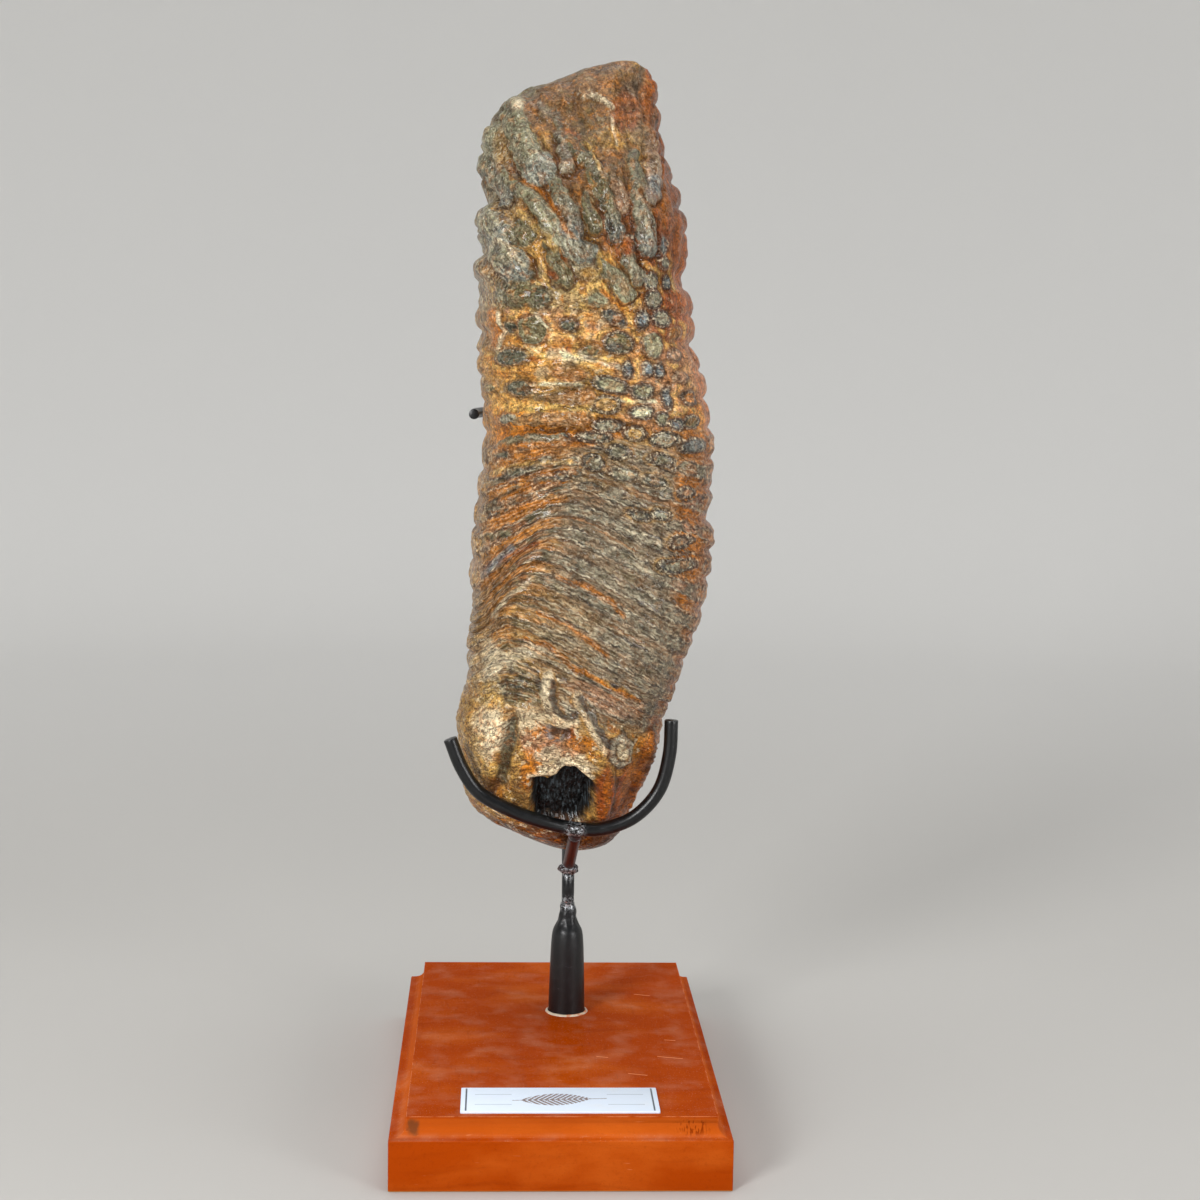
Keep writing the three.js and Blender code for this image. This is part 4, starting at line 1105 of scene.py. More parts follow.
# Strokes of tone: folds of enamel, dark loops, seams of cement and bright stripes
STROKES = tuple(Form(*row) for row in (
    (((-4.6, 169), (-5.2, 161.6), (-3.6, 154.6), (0.6, 151), (5.6, 152)), 3.2, 1.4, Tone.CREAM),
    (((-2.6, 168), (-3.2, 161.4), (-1.4, 156), (2.4, 153.4), (5.8, 154.4)), 1.8, 0.6, Tone.ENAMEL_DARK),
    (((-2.2, 147.4), (1.4, 146.6)), 2.4, -0.6, Tone.UMBER),
    (((6.4, 160.4), (10.6, 154), (13.6, 147.6), (17.6, 141)), 3.1, 1.2, Tone.CREAM),
    (((7.4, 160.6), (11.8, 153.8), (14.8, 147.6), (18, 142.4)), 1.9, 0.5, Tone.ENAMEL_DARK),
    (SMALL_LOOP, 2.4, 1.2, Tone.ENAMEL_DARK),
    (SMALL_LOOP, 1.1, 0.2, Tone.ENAMEL_LIGHT),
    (((36.8, 144), (34.5, 131.5), (31.9, 120.8), (29.2, 107)), 1.4, 1, Tone.ORANGE),
    (((-18.5, 150.5), (-19.6, 143.6), (-22.5, 133), (-23.6, 125)), 3.4, -1, Tone.OLIVE_DARK),
    (((-28.5, 126), (-25.5, 121)), 2.4, -0.6, Tone.UMBER),
    (((-11.5, 129.4), (-7.4, 130.4), (-1.7, 131), (1, 134.9), (4.5, 135.5), (8.3, 133.4),
     (12.2, 129.4)), 1.3, 0.7, Tone.CREAM),
    (((-16, 351.5), (-9, 347), (-4.8, 342), (-0.7, 334.4), (1.3, 331.4)), 1.4, -0.9, Tone.ORANGE),
    (((-18, 340), (-13.4, 336.4), (-9.8, 332.8), (-6.8, 328.8), (-4.7, 326.8)), 1.8, 0.9, Tone.YELLOW),
    (((-27.7, 328), (-22.5, 330), (-18.4, 323.8), (-14.8, 321)), 1.1, 0.5, Tone.CREAM),
    (((7, 366.4), (10, 361), (12, 356)), 1.1, 0.7, Tone.YELLOW),
    (((-19, 384.5), (-18, 379)), 3.0, 0.3, Tone.CREAM),
    (((-25, 384.5), (-20, 387.5)), 2.2, 0.3, Tone.ORANGE),
    (((-14.5, 386.5), (-10, 380.5), (-4, 377)), 2.8, -0.9, Tone.MAUVE),
    (((6.2, 384), (9.9, 384.5), (14, 382.4), (16.6, 379.8)), 1.2, 0.5, Tone.CREAM),
    (((16.6, 375.4), (18, 370), (19, 366.3)), 0.8, -0.4, Tone.CREAM),
    (((12, 325.5), (12.2, 317), (6.6, 313.3)), 1.1, 0.4, Tone.YELLOW),
    (((12.2, 317), (15.8, 313)), 1.1, 0.4, Tone.YELLOW),
    (((-7.7, 319), (-4, 316)), 1.0, -0.5, Tone.RUST),
    (((-13, 304.3), (-8.9, 301), (-4.8, 297.5)), 0.9, 0.4, Tone.CREAM),
    (((-25.2, 303), (-24, 296), (-26.3, 289)), 0.9, 0.4, Tone.CREAM),
    (((13.5, 312), (23, 304)), 1.9, 0.3, Tone.ORANGE),
    (((6.9, 287.3), (13.3, 286.2), (19.7, 284)), 1.3, 0.4, Tone.ENAMEL_LIGHT),
    (((-11.5, 277.7), (-2.3, 278), (6, 277.5)), 1.1, 0.4, Tone.CREAM),
    (((-14.3, 269), (8.3, 269.6)), 1.2, 0.4, Tone.YELLOW),
    (((19.5, 272.5), (33.5, 271.5)), 1.0, 0.3, Tone.CREAM),
    (((-0.3, 258.7), (5, 256.5), (11, 254.8), (15.6, 254.3)), 1.1, -0.5, Tone.ENAMEL_DARK),
    (((26, 348), (30, 337), (32, 329)), 0.9, -0.5, Tone.UMBER),
    (((-31, 250), (-20, 254.5), (-6, 256), (10, 256)), 1.5, 0.5, Tone.ORANGE),
    (((-31, 242), (-22, 246), (-10, 249), (2, 249.5)), 1.2, 0.4, Tone.YELLOW),
    (((-32, 236), (-22, 241), (-10, 245), (4, 246)), 1.5, 0.5, Tone.ORANGE),
    (((-33, 228), (-25, 234), (-14, 240), (0, 242)), 1.3, 0.4, Tone.ORANGE),
    (((-33, 219), (-25, 226), (-14, 233), (0, 236)), 1.4, 0.5, Tone.ORANGE),
    (((-28, 239), (-20, 243.5), (-9, 247)), 1.7, -0.4, Tone.OLIVE_DARK),
    (((-30, 208), (-20, 214), (-10, 219)), 1.2, -0.4, Tone.RUST),
    (((-31, 226), (-24, 235), (-17, 240)), 1.4, 0.4, Tone.OLIVE_DARK),
    (((-30, 205), (-23, 213), (-19, 217)), 1.8, 0.5, Tone.BLUE_GREY),
    (((-27, 190), (-20, 199), (-13, 204)), 1.3, 0.5, Tone.CREAM),
    (((-2, 207), (9, 203), (18, 197), (23, 192)), 1.2, -0.4, Tone.ORANGE),
    (((-9, 193), (2, 189), (12, 181), (17, 177)), 1.3, -0.4, Tone.ORANGE),
    (((-14, 183), (-3, 179), (6, 171)), 1.3, -0.4, Tone.ORANGE),
    (((8, 171), (19, 165), (30, 159)), 1.2, -0.4, Tone.ORANGE),
    (((15, 229), (24, 224), (36, 219)), 1.1, 0.4, Tone.ENAMEL_LIGHT),
))
# Edge of the broken hollow at the low end
HOLLOW_EDGE = Form((
    (-11.9, 128.6), (-8, 129.6), (-4.7, 128.7), (-1.7, 130.2), (0.4, 132.8), (2, 134.4), (3.9, 133.6),
    (6, 134.2), (8.2, 132.2), (10.6, 129.8), (13.2, 127.6), (15.6, 124), (14.9, 121.4), (14.2, 118.6),
    (13, 112.7), (9.4, 107), (0.9, 104.5), (-10, 107), (-12, 112.7), (-11.6, 121), (-11.9, 128.6)), 1, 0)

# Notches in the outline: -1 for the left flank or 1 for the right, height, depth and half height
NOTCHES = (
    (-1, 346.6, 3.6, 4.5), (-1, 328.3, 4.2, 4.5), (-1, 310.8, 2.8, 4), (-1, 294.7, 2, 4), (-1, 391, 1.2, 5),
    (-1, 188, 2, 9), (1, 317.7, 3.8, 4.5), (1, 291.7, 2, 4), (1, 228.8, 2.4, 4.5), (1, 398, 2.5, 4),
    (1, 168, 1.6, 9), (1, 149, 2, 9), (1, 120, 1.6, 9),
)


@dataclass
class ToothForm:
    """Smooth form of the tooth, the lines of its plates and the relief of its surface."""

    foot: float = 91.5
    top: float = 400.0
    end_rounding: float = 0.01
    angle_step: float = 0.02
    left: Stations = Stations(
        (91.5, 8), (93, -1), (95, -7), (98, -14), (102, -22), (107, -29.5), (112, -34), (120, -37.5),
        (134, -39), (147, -39.9), (164, -35.9), (200, -35), (227, -33), (256, -29.7), (285, -32.5),
        (320, -34), (362, -32), (373, -29.5), (381, -25.5), (388, -16.5), (393, -4.5), (397, 8), (399, 16),
        (400, 22))
    right: Stations = Stations(
        (91.5, 8), (93, 17), (95, 21.5), (100, 25.5), (107, 28.7), (116, 33.5), (136, 40), (152, 45),
        (176, 52), (200, 57.5), (220, 58.8), (248, 58.8), (271, 55.6), (298, 50), (333, 47.6), (356, 41.2),
        (384, 34.4), (393, 34), (397, 32.5), (399, 28), (400, 22))
    front: Stations = Stations(
        (91.5, 30), (92.5, 22), (94.2, 18), (96.8, 13.3), (100.8, 7.3), (104.6, 2), (107.5, -1),
        (110.3, -3.6), (118, -9), (130, -15), (150, -19), (170, -22), (200, -24.5), (250, -27.5),
        (300, -29), (330, -27), (350, -20), (365, -11), (380, -3), (390, 3.5), (396, 9), (399, 15), (400, 24))
    back: Stations = Stations(
        (91.5, 30), (93, 36), (96, 41), (101, 46), (110, 52), (125, 58), (150, 64), (180, 71), (220, 77),
        (260, 80), (300, 79), (330, 75), (350, 69), (365, 62), (380, 54), (390, 47.5), (396, 41), (399, 33.5),
        (400, 24))
    squareness: Stations = Stations(
        (91.5, 2), (118, 2.05), (142, 2.5), (200, 3), (300, 2.7), (380, 2.4), (400, 2))
    plate_crest: float = 301.0
    pitch_below: float = 8.6
    pitch_above: float = 9.7
    arch_left: Stations = Stations(
        (91.5, 0), (115, 0.1), (140, 0.4), (165, 1), (190, 1.4), (214, 1.3), (236, 0.6), (250, 0.55),
        (264, 0.15), (277, 0), (400, 0))
    arch_right: Stations = Stations(
        (91.5, 0), (115, 0.1), (140, 0.25), (165, 0.45), (214, 0.5), (236, 0.47), (250, 0.35), (264, 0.25),
        (277, 0.17), (310, 0.05), (340, 0), (400, 0))
    arch_crest: Stations = Stations(
        (91.5, 0), (140, -10), (165, -20), (190, -20), (199, -15.5), (214, -9), (238, 2), (250, 0), (400, 0))
    arch_rounding: float = 9.2
    rib_flank: Stations = Stations(
        (91.5, 0), (130, 0.4), (160, 1.6), (300, 2.2), (350, 3), (385, 2), (400, 0))
    rib_front: Stations = Stations(
        (91.5, 0), (150, 0.3), (175, 0.8), (240, 1), (262, 1.8), (300, 1.4), (320, 0.4), (400, 0))

    def smooth_place(self, height: Number, angle: Number) -> np.ndarray:
        """Places on the smooth form, at heights and at angles from the front to the right."""
        left, right, front, back = (face(height) for face in (self.left, self.right, self.front, self.back))
        power = self.squareness(height)
        across, along = np.sin(angle), -np.cos(angle)
        half_width = (right - left) / 2 + self.end_rounding
        half_depth = (back - front) / 2 + self.end_rounding
        share = (np.abs(across) / half_width) ** power + (np.abs(along) / half_depth) ** power
        reach = share ** (-1 / power)
        x, y = (left + right) / 2 + reach * across, (front + back) / 2 + reach * along
        return np.stack([x, y, height + 0 * x], axis=-1)

    def arch_drop(self, x: Number, crest: Number) -> Number:
        """How far a plate's line has dropped from its crest, at a place across the front."""
        offset = x - self.arch_crest(crest)
        slope = np.where(offset < 0, self.arch_left(crest), self.arch_right(crest))
        return slope * (np.hypot(offset, self.arch_rounding) - self.arch_rounding)

    def arched_place(self, crest: Number, angle: Number) -> np.ndarray:
        """Places on a plate's line: arched on the front, a plain slant on the back."""
        level = self.smooth_place(crest, angle)[..., 0]
        left, right = self.left(crest), self.right(crest)
        share = (level - left) / (right - left + self.end_rounding)
        slant = blend(self.arch_drop(left, crest), self.arch_drop(right, crest), share)
        backness = smoothstep(1 - np.cos(angle), 0.6, 1.8)
        drop = blend(self.arch_drop(level, crest), slant, backness)
        return self.smooth_place(np.maximum(crest - drop, self.foot), angle)

    def plate_number(self, crest: Number) -> Number:
        """Number of the plate at a crest height, whole at its middle."""
        below = self.plate_crest - crest
        return below / np.where(below > 0, self.pitch_below, self.pitch_above)

    def outward(self, crest: np.ndarray, angle: np.ndarray) -> np.ndarray:
        """Outward directions of the smooth form."""
        before = self.arched_place(crest, angle - self.angle_step)
        around = self.arched_place(crest, angle + self.angle_step) - before
        lower, upper = np.maximum(crest - 1, self.foot), np.minimum(crest + 1, self.top)
        climb = self.arched_place(upper, angle) - self.arched_place(lower, angle)
        normal = np.cross(around, climb)
        return normal / np.maximum(np.linalg.norm(normal, axis=-1, keepdims=True), 1e-9)


@dataclass
class Molar:
    """The tooth: a fine mesh over the smooth form, its relief and the tones painted on it."""

    form: ToothForm = field(default_factory=ToothForm)
    columns: dict[str, int] = field(default_factory=lambda: {"face": 116, "flank": 28, "back": 52})
    face_angle: float = 42.0
    flank_angle: float = 95.0
    top_rows: int = 12
    foot_rows: int = 22
    plain_rows: int = 402
    top_end: float = 394.0
    foot_end: float = 101.0
    enamel_place: float = 0.23
    hollow_depth: float = 7.0
    furrow_half: float = 12.0
    furrow_depth: float = 5.0
    swelling: float = 1.9
    swelling_length: float = 36.0
    fan_middle: tuple[float, float] = (40.0, 250.0)
    fan_reach: float = 100.0
    # Brightness by height, multiplied into the tooth's tones: painted shade at the foot and underside and
    # dimmer towards the top, lighter in the middle band
    light: Stations = Stations(
        (91.5, 0.28), (104, 0.36), (112, 1), (235, 1), (250, 1.05), (264, 1.42), (290, 1.35), (315, 1.05),
        (330, 0.88), (345, 0.76), (400, 0.76))
    # Strength of the painted shade in grooves and painted light on ridges, multiplied into the tones
    crevice_shade: float = 0.42
    tip_blue: float = 0.6
    tall_rise: float = 2.0
    rod_clearance: float = 0.25
    inside_box: float = 0.05

    def build(self, rods: Sequence[tuple[Sequence[Vector], float]]) -> bpy.types.Object:
        """Builds the tooth.

        Args:
            rods: Path and radius of each rod that the tooth keeps clear of.

        Returns:
            The finished object.
        """
        total = self.columns["face"] + 2 * self.columns["flank"] + self.columns["back"]
        rows = self.top_rows + self.plain_rows + self.foot_rows
        bm = bmesh.new()
        bmesh.ops.create_uvsphere(bm, u_segments=total, v_segments=rows, radius=1)
        ball = np.array([vertex.co for vertex in bm.verts])
        angle = self.spread_angles(np.arctan2(ball[:, 0], -ball[:, 1]), total)
        crest = self.row_heights(np.arccos(np.clip(ball[:, 2], -1, 1)) / math.pi * rows)
        places = self.form.arched_place(crest, angle)
        fields = self.surface_fields(places, crest, angle)
        carved = places + self.form.outward(crest, angle) * fields["rise"][:, None]
        carved = self.keep_clear(carved, rods)
        carved = self.fit_box(carved)
        for vertex, place in zip(bm.verts, carved):
            vertex.co = place
        bmesh.ops.recalc_face_normals(bm, faces=bm.faces)
        made = finish_piece(bm, "mammoth_molar", "molar", FossilTooth(), None)
        for name in ("gap", "enamel", "hollow", "zones", "glassy", "rim", "calm", "waved", "level", "fan",
                     "core_tone", "cement_tone"):
            paint_vertices(made.data, name, fields[name])
        return made

    def spread_angles(self, turn: np.ndarray, total: int) -> np.ndarray:
        """Angles of the columns, close over the front and wide on the back."""
        face_turn = math.pi * self.columns["face"] / total
        flank_turn = face_turn + 2 * math.pi * self.columns["flank"] / total
        face, flank = math.radians(self.face_angle), math.radians(self.flank_angle)
        return np.interp(turn, [-math.pi, -flank_turn, -face_turn, face_turn, flank_turn, math.pi],
                         [-math.pi, -flank, -face, face, flank, math.pi])

    def row_heights(self, row: np.ndarray) -> np.ndarray:
        """Crest heights of the rows, counted down from the top and close near both ends."""
        rows = self.top_rows + self.plain_rows + self.foot_rows
        from_top = np.clip(row / self.top_rows, 0, 1)
        from_foot = np.clip((rows - row) / self.foot_rows, 0, 1)
        between = np.clip((row - self.top_rows) / self.plain_rows, 0, 1)
        height = blend(self.top_end, self.foot_end, between)
        height = np.where(row < self.top_rows, blend(self.form.top, self.top_end, from_top ** 2), height)
        low = blend(self.form.foot, self.foot_end, from_foot ** 2)
        return np.where(row > rows - self.foot_rows, low, height)

    def surface_fields(self, places: np.ndarray, crest: np.ndarray,
                       angle: np.ndarray) -> dict[str, np.ndarray]:
        """Works out the relief and the tones at every vertex.

        Args:
            places: Places on the smooth form.
            crest: Crest heights of their plate lines.
            angle: Angles from the front.

        Returns:
            By name: the rise, the gap to the nearest enamel, the masks for the material, the places
            along the plates and along the fan, and the tones of core and cement.
        """
        x, z = places[:, 0], places[:, 2]
        frontness = smoothstep(np.cos(angle), 0, 0.45)
        wave = noise_at(places, (3.7, 3.7, 5.0), 11) * 1.0 + noise_at(places, (1.7, 1.7, 2.2), 31) * 0.35
        broad = noise_at(places, 26)
        coarse = noise_at(places, 9, 5)
        middle = noise_at(places, 4.2, 17)
        small = noise_at(places, 2.1, 23)
        level, fan, fanned = self.grain_runs(places, crest)
        plate = self.form.plate_number(crest + wave * frontness * smoothstep(crest, 120, 150))
        fraction = np.abs(plate - np.round(plate))
        plate_gap = (fraction - self.enamel_place) * self.form.pitch_below
        edge_x, edge_z = x + 1.7 * middle + 0.5 * small, z + 1.5 * noise_at(places, 3.6, 41)
        oval_places = (x + 0.8 * middle + 0.4 * small, z + 0.7 * coarse)
        forms_gap, outline, tip, form_tones = self.forms_gap(edge_x, edge_z, oval_places)
        worn = smoothstep(z + 4 * coarse - 0.1 * x, 262, 250)
        worn = worn * smoothstep(z + 4 * coarse + 0.22 * x, 144, 160)
        stroke_rise = sum(form.swell(edge_x, edge_z) for form in STROKES)
        in_stroke = smoothstep(np.abs(stroke_rise), 0.1, 0.4) * smoothstep(z, 176, 168)
        on_ring = outline * smoothstep(forms_gap, 2.6, 1.4) * frontness
        worn = worn * (1 - np.maximum(0.85 * in_stroke, 0.75 * outline * smoothstep(forms_gap, 1.6, 0.4)))
        upper = smoothstep(z, 230, 262)
        gap = blend(forms_gap, plate_gap, np.maximum(worn * (1 - on_ring), 1 - frontness))
        gap = np.where((z < 160) & (frontness > 0.5), blend(3.0, gap, worn), gap)
        enamel = np.clip(worn * (0.55 + 0.6 * middle), 0, 1) * frontness
        enamel = np.maximum(enamel, on_ring)
        on_finger = smoothstep(gap, 0.5, -1.5) * upper * frontness
        left_lumps = smoothstep(x, -14, -26) * smoothstep(z + 4 * coarse, 300, 312) * smoothstep(z, 385, 370)
        left_lumps = left_lumps * smoothstep(np.cos(angle), -0.05, 0.3)
        # Glassy parts get speckled enamel and stronger painted glints and crest highlights in the material
        glassy = np.clip(on_finger * tip + left_lumps * 0.8 + worn * 0.2, 0, 1)
        # Rim: strength of the groove round fingers and ovals, cut into the relief and darkened as painted
        # shade in the material
        rim = np.clip(tip * upper * (1 - worn), 0, 1) * frontness
        waved = np.clip(left_lumps * smoothstep(z, 350, 340) + 0.3 * on_finger * tip, 0, 1) * (1 - worn)
        lines = worn + 0.35 * smoothstep(z, 262, 280) * smoothstep(z, 300, 285) + 0.3 * (1 - frontness)
        lines = np.clip(lines, 0, 1)
        hollow_inset = self.hollow_inset(edge_x * 0.6 + x * 0.4, edge_z * 0.6 + z * 0.4)
        hollow = smoothstep(hollow_inset, 0.1, 1.3) * smoothstep(z + 2.5 * small, 102, 108) * frontness
        rise = self.relief(places, crest, angle, frontness, (broad, coarse, middle, small))
        ridge = np.exp(-(gap / 0.8) ** 2) * enamel * 0.55 - smoothstep(gap, 0.6, 2) * worn * 0.35
        ridge -= 0.9 * np.exp(-((gap - 1.0) / 0.8) ** 2) * rim
        grooves = 1.2 * noise_at(fan, (34, 5, 30), 7) + 0.6 * noise_at(fan, (20, 2.4, 20), 19)
        grooves = upper * fanned * grooves
        grooves += 0.35 * blend(noise_at(level, (7, 1.5, 7), 9), noise_at(fan, (7, 1.5, 7), 9), fanned)
        fibres = noise_at(places, (0.9, 0.9, 14), 3) * 1.1 * hollow
        end_fade = smoothstep(crest, self.form.foot, self.form.foot + 14)
        end_fade = end_fade * (1 - 0.7 * smoothstep(crest, self.form.top - 10, self.form.top))
        rise = rise + frontness * (ridge + stroke_rise + grooves) + fibres - self.notch_depth(angle, z)
        rise = rise * end_fade
        core, cement = self.tones(places, angle, (worn, upper, fraction, gap), form_tones, (coarse, middle))
        # Painted light and shade from the relief: tones darker in grooves and lighter on ridges
        painted_relief_shading = (1 + self.crevice_shade * np.tanh(grooves + ridge + 0.7 * middle + 0.5 * small))[:, None]
        core, cement = np.clip(core * painted_relief_shading, 0, 1), np.clip(cement * painted_relief_shading, 0, 1)
        smooth_root = smoothstep(x, 10, 15) * smoothstep(z, 140, 130)
        red_side = smoothstep(x + 0.15 * (z - 300), 30, 42) * smoothstep(z, 255, 275)
        red_side = red_side * smoothstep(gap, 0, 1.5)
        pale_side = smoothstep(x + coarse, -10, -18) * smoothstep(z, 174, 164) * smoothstep(z, 112, 122)
        calm = np.maximum.reduce([smooth_root, 0.4 * red_side, 0.55 * pale_side, 0.8 * in_stroke])
        midway = smoothstep(z, 262, 275) * smoothstep(z, 330, 310) * smoothstep(gap, 0, 1)
        mottled = np.maximum(smoothstep(z + 0.4 * x, 170, 152), 0.4 * midway) * frontness * (1 - smooth_root)
        zones = np.stack([lines, fanned, mottled], axis=1)
        return {"rise": rise, "gap": gap, "enamel": enamel, "hollow": hollow, "zones": zones,
                "glassy": glassy, "rim": rim, "calm": calm, "waved": waved,
                "level": level * MM, "fan": fan * MM, "core_tone": core, "cement_tone": cement}

    def grain_runs(self, places: np.ndarray, crest: np.ndarray) -> tuple[np.ndarray, ...]:
        """Places along and across the plates, the same for the fan of columns, and where the fan rules."""
        x, y, z = places.T
        off_x, off_z = x - self.fan_middle[0], z - self.fan_middle[1]
        fan = np.stack([np.hypot(off_x, off_z), self.fan_reach * np.arctan2(off_x, off_z), y], axis=1)
        level = np.stack([x, crest, y], axis=1)
        return level, fan, smoothstep(z + 0.2 * x, 306, 322) * smoothstep(y, 45, 15)

    def notch_depth(self, angle: np.ndarray, z: np.ndarray) -> np.ndarray:
        """Depth of the notches between the big lumps of both flanks."""
        depth = np.zeros(z.shape)
        for side, height, deep, half in NOTCHES:
            beside = smoothstep(side * np.sin(angle), 0.45, 0.85)
            depth += deep * beside * np.exp(-((z - height) / half) ** 2)
        return depth

    def forms_gap(self, x: np.ndarray, z: np.ndarray, plain: tuple[np.ndarray, np.ndarray],
                  ) -> tuple[np.ndarray, np.ndarray, np.ndarray, list[tuple[Tone, np.ndarray]]]:
        """Finds the nearest finger or oval.

        Args:
            x: Places across, unevenly shifted.
            z: Heights, unevenly shifted.
            plain: Places and heights shifted less, for the ovals.

        Returns:
            Signed distance to the nearest form, the strength of its loop of enamel, how glassy it is,
            and the tone and mask of every form.
        """
        gap, outline, tip, covered = np.full(x.shape, 6.0), np.zeros(x.shape), np.full(x.shape, 0.6), []
        for form in FINGERS:
            distance, along = form.nearest(x, z)
            own = distance - 0.9 * form.width * (1 - FINGER_TAPER * (1 - along))
            cover = smoothstep(own, 1.2, -0.8)
            covered.append((form.tone, cover * blend(0.3, 1, along)))
            blue = self.tip_blue * (form.rise > self.tall_rise)
            covered.append((Tone.BLUE_GREY, cover * smoothstep(along, 0.7, 1) * blue))
            tip = np.where(own < gap, smoothstep(along, 0.1, 0.8), tip)
            gap = np.minimum(gap, own)
        for oval in OVALS:
            own = oval.inset(*plain)
            covered.append((oval.tone, smoothstep(own, 0.8, -0.5)))
            outline = np.where(own < gap, oval.strength * smoothstep(own, 2, 1), outline)
            tip = np.where(own < gap, 0.35 + 0.3 * oval.strength, tip)
            gap = np.minimum(gap, own)
        return np.clip(gap, -4, 4), outline, tip, covered

    def hollow_inset(self, x: np.ndarray, z: np.ndarray) -> np.ndarray:
        """How far inside the broken hollow's edge each place lies, below 0 outside it."""
        corners = HOLLOW_EDGE.route
        inside = np.zeros(x.shape, bool)
        for (x0, z0), (x1, z1) in zip(corners, corners[1:]):
            crossing = (z0 > z) != (z1 > z)
            reach = x0 + (x1 - x0) * (z - z0) / (z1 - z0 if z1 != z0 else 1.0)
            inside ^= crossing & (x < reach)
        return np.where(inside, 1, -1) * HOLLOW_EDGE.distance(x, z)

    def relief(self, places: np.ndarray, crest: np.ndarray, angle: np.ndarray, frontness: np.ndarray,
               noises: tuple[np.ndarray, ...]) -> np.ndarray:
        """Rise of the ribs, fingers, hollow, furrow and unevenness over the smooth form."""
        x, z = places[:, 0], places[:, 2]
        broad, coarse, middle, small = noises
        form = self.form
        plate = form.plate_number(crest)
        shape = 1 - np.abs(2 * (plate - np.round(plate))) ** 3
        flank = form.rib_flank(crest) * (1 - smoothstep(-np.cos(angle), 0.3, 0.95))
        uneven = np.clip(0.55 + 0.9 * coarse + 0.5 * broad, 0.1, 1.1)
        rib = blend(flank * uneven, form.rib_front(crest), smoothstep(np.cos(angle), 0.35, 0.8))
        rib = rib * (shape - 0.6)
        x_bent, z_bent = x + 1.6 * middle + 0.7 * small, z + 2 * coarse
        raised = [finger.swell(x_bent, z_bent, FINGER_TAPER) * 0.9 for finger in FINGERS]
        domes = [OVAL_RISE * np.clip(-oval.inset(x_bent, z_bent), 0, None) ** 0.7 for oval in OVALS]
        raised = np.maximum.reduce([*raised, *domes])
        root = sum(piece.swell(x, z) for piece in ROOT_FORMS)
        hollow = self.hollow_depth * smoothstep(self.hollow_inset(x, z), -0.3, 2.4)
        across = (x - (form.left(z) + form.right(z)) / 2) / self.furrow_half
        reach = smoothstep(z, 120, 160) * (1 - smoothstep(z, 305, 345))
        swelling = self.swelling * np.sin(2 * math.pi * z / self.swelling_length + np.sign(across))
        furrow = self.furrow_depth * np.exp(-across ** 2)
        root_side = reach * (swelling * np.minimum(1, np.abs(across)) - furrow)
        rootness = smoothstep(-np.cos(angle), 0.2, 0.8)
        rough = 0.35 + 0.5 * smoothstep(z, 340, 385) + 0.5 * smoothstep(z, 170, 150) + 0.4 * (1 - frontness)
        lumps = smoothstep(x, -14, -26) * smoothstep(z, 305, 312) * smoothstep(z, 352, 345)
        rough = rough * (1 - 0.6 * lumps)
        grain = (1.3 * broad + 0.6 * coarse + rough * (0.55 * middle + 0.35 * small)
                 - 0.5 * rough * np.abs(middle))
        return rib + frontness * (raised + root - hollow) + rootness * root_side + grain

    def tones(self, places: np.ndarray, angle: np.ndarray, masks: tuple[np.ndarray, ...],
              form_tones: list[tuple[Tone, np.ndarray]],
              noises: tuple[np.ndarray, ...]) -> tuple[np.ndarray, np.ndarray]:
        """Tones of the core and of the cement at every vertex, with the brightness by height multiplied in.

        Args:
            places: Places on the smooth form.
            angle: Angles from the front.
            masks: Masks of the worn chewing face and of the unworn upper half, distance from a plate's
                middle and gap to the nearest enamel.
            form_tones: Tone and mask of each finger and oval.
            noises: Coarse and middle noise.

        Returns:
            Core tones and cement tones.
        """
        coarse, middle = noises
        worn, upper, row_edge, gap = masks
        x, z = places[:, 0] + 1.5 * coarse + 0.8 * middle, places[:, 2] + 2 * coarse + 0.8 * middle
        core, cement = Coat(len(x), Tone.GREY), Coat(len(x), Tone.OCHRE)
        left = smoothstep(x - 0.15 * (z - 200), 2, -20)
        rows = smoothstep(z, 252, 262) * smoothstep(z, 318, 300)
        rows = rows * smoothstep(row_edge + 0.12 * middle, 0.36, 0.46)
        midway = smoothstep(z, 258, 266) * smoothstep(z, 332, 318)
        cement.lay(Tone.TAN, midway * 0.6)
        cement.lay(Tone.YELLOW, rows * 0.9)
        cement.lay(Tone.MAUVE, worn * 0.9)
        cement.lay(Tone.OCHRE, worn * left * 0.8)
        cement.lay(Tone.ORANGE, worn * left * smoothstep(gap, 1.5, 0.7) * 0.55)
        cement.lay(Tone.YELLOW, worn * left * smoothstep(middle, 0, 0.4) * 0.6)
        core.lay(Tone.MAUVE, worn * 0.45)
        core.lay(Tone.OLIVE, worn * left * 0.8)
        stained = smoothstep(z, 185, 212) * smoothstep(z, 275, 264)
        stained = stained * np.maximum(0.85 * left, smoothstep(x, 38, 48))
        cement.lay(Tone.ORANGE, stained * 0.9)
        core.lay(Tone.RUST, stained * smoothstep(middle, -0.3, 0.2) * 0.6)
        core.lay(Tone.OLIVE, upper * 0.7)
        for patch in (*CEMENT_PATCHES, *LOWER_PATCHES):
            cover = smoothstep(patch.reach(x, z) + 0.28 * middle + 0.15 * coarse, 1.2, 0.75) * patch.strength
            cement.lay(patch.tone, cover)
            if patch in LOWER_PATCHES:
                core.lay(patch.tone, cover * 0.8)
        for tone, cover in form_tones:
            core.lay(tone, cover * (1 - worn) * 0.9)
        for form in STROKES:
            ragged = min(0.9, 0.35 * form.width) * middle
            cover = smoothstep(form.distance(x - 1.2 * coarse, z - 1.6 * coarse) + ragged, form.width,
                               form.width * 0.45)
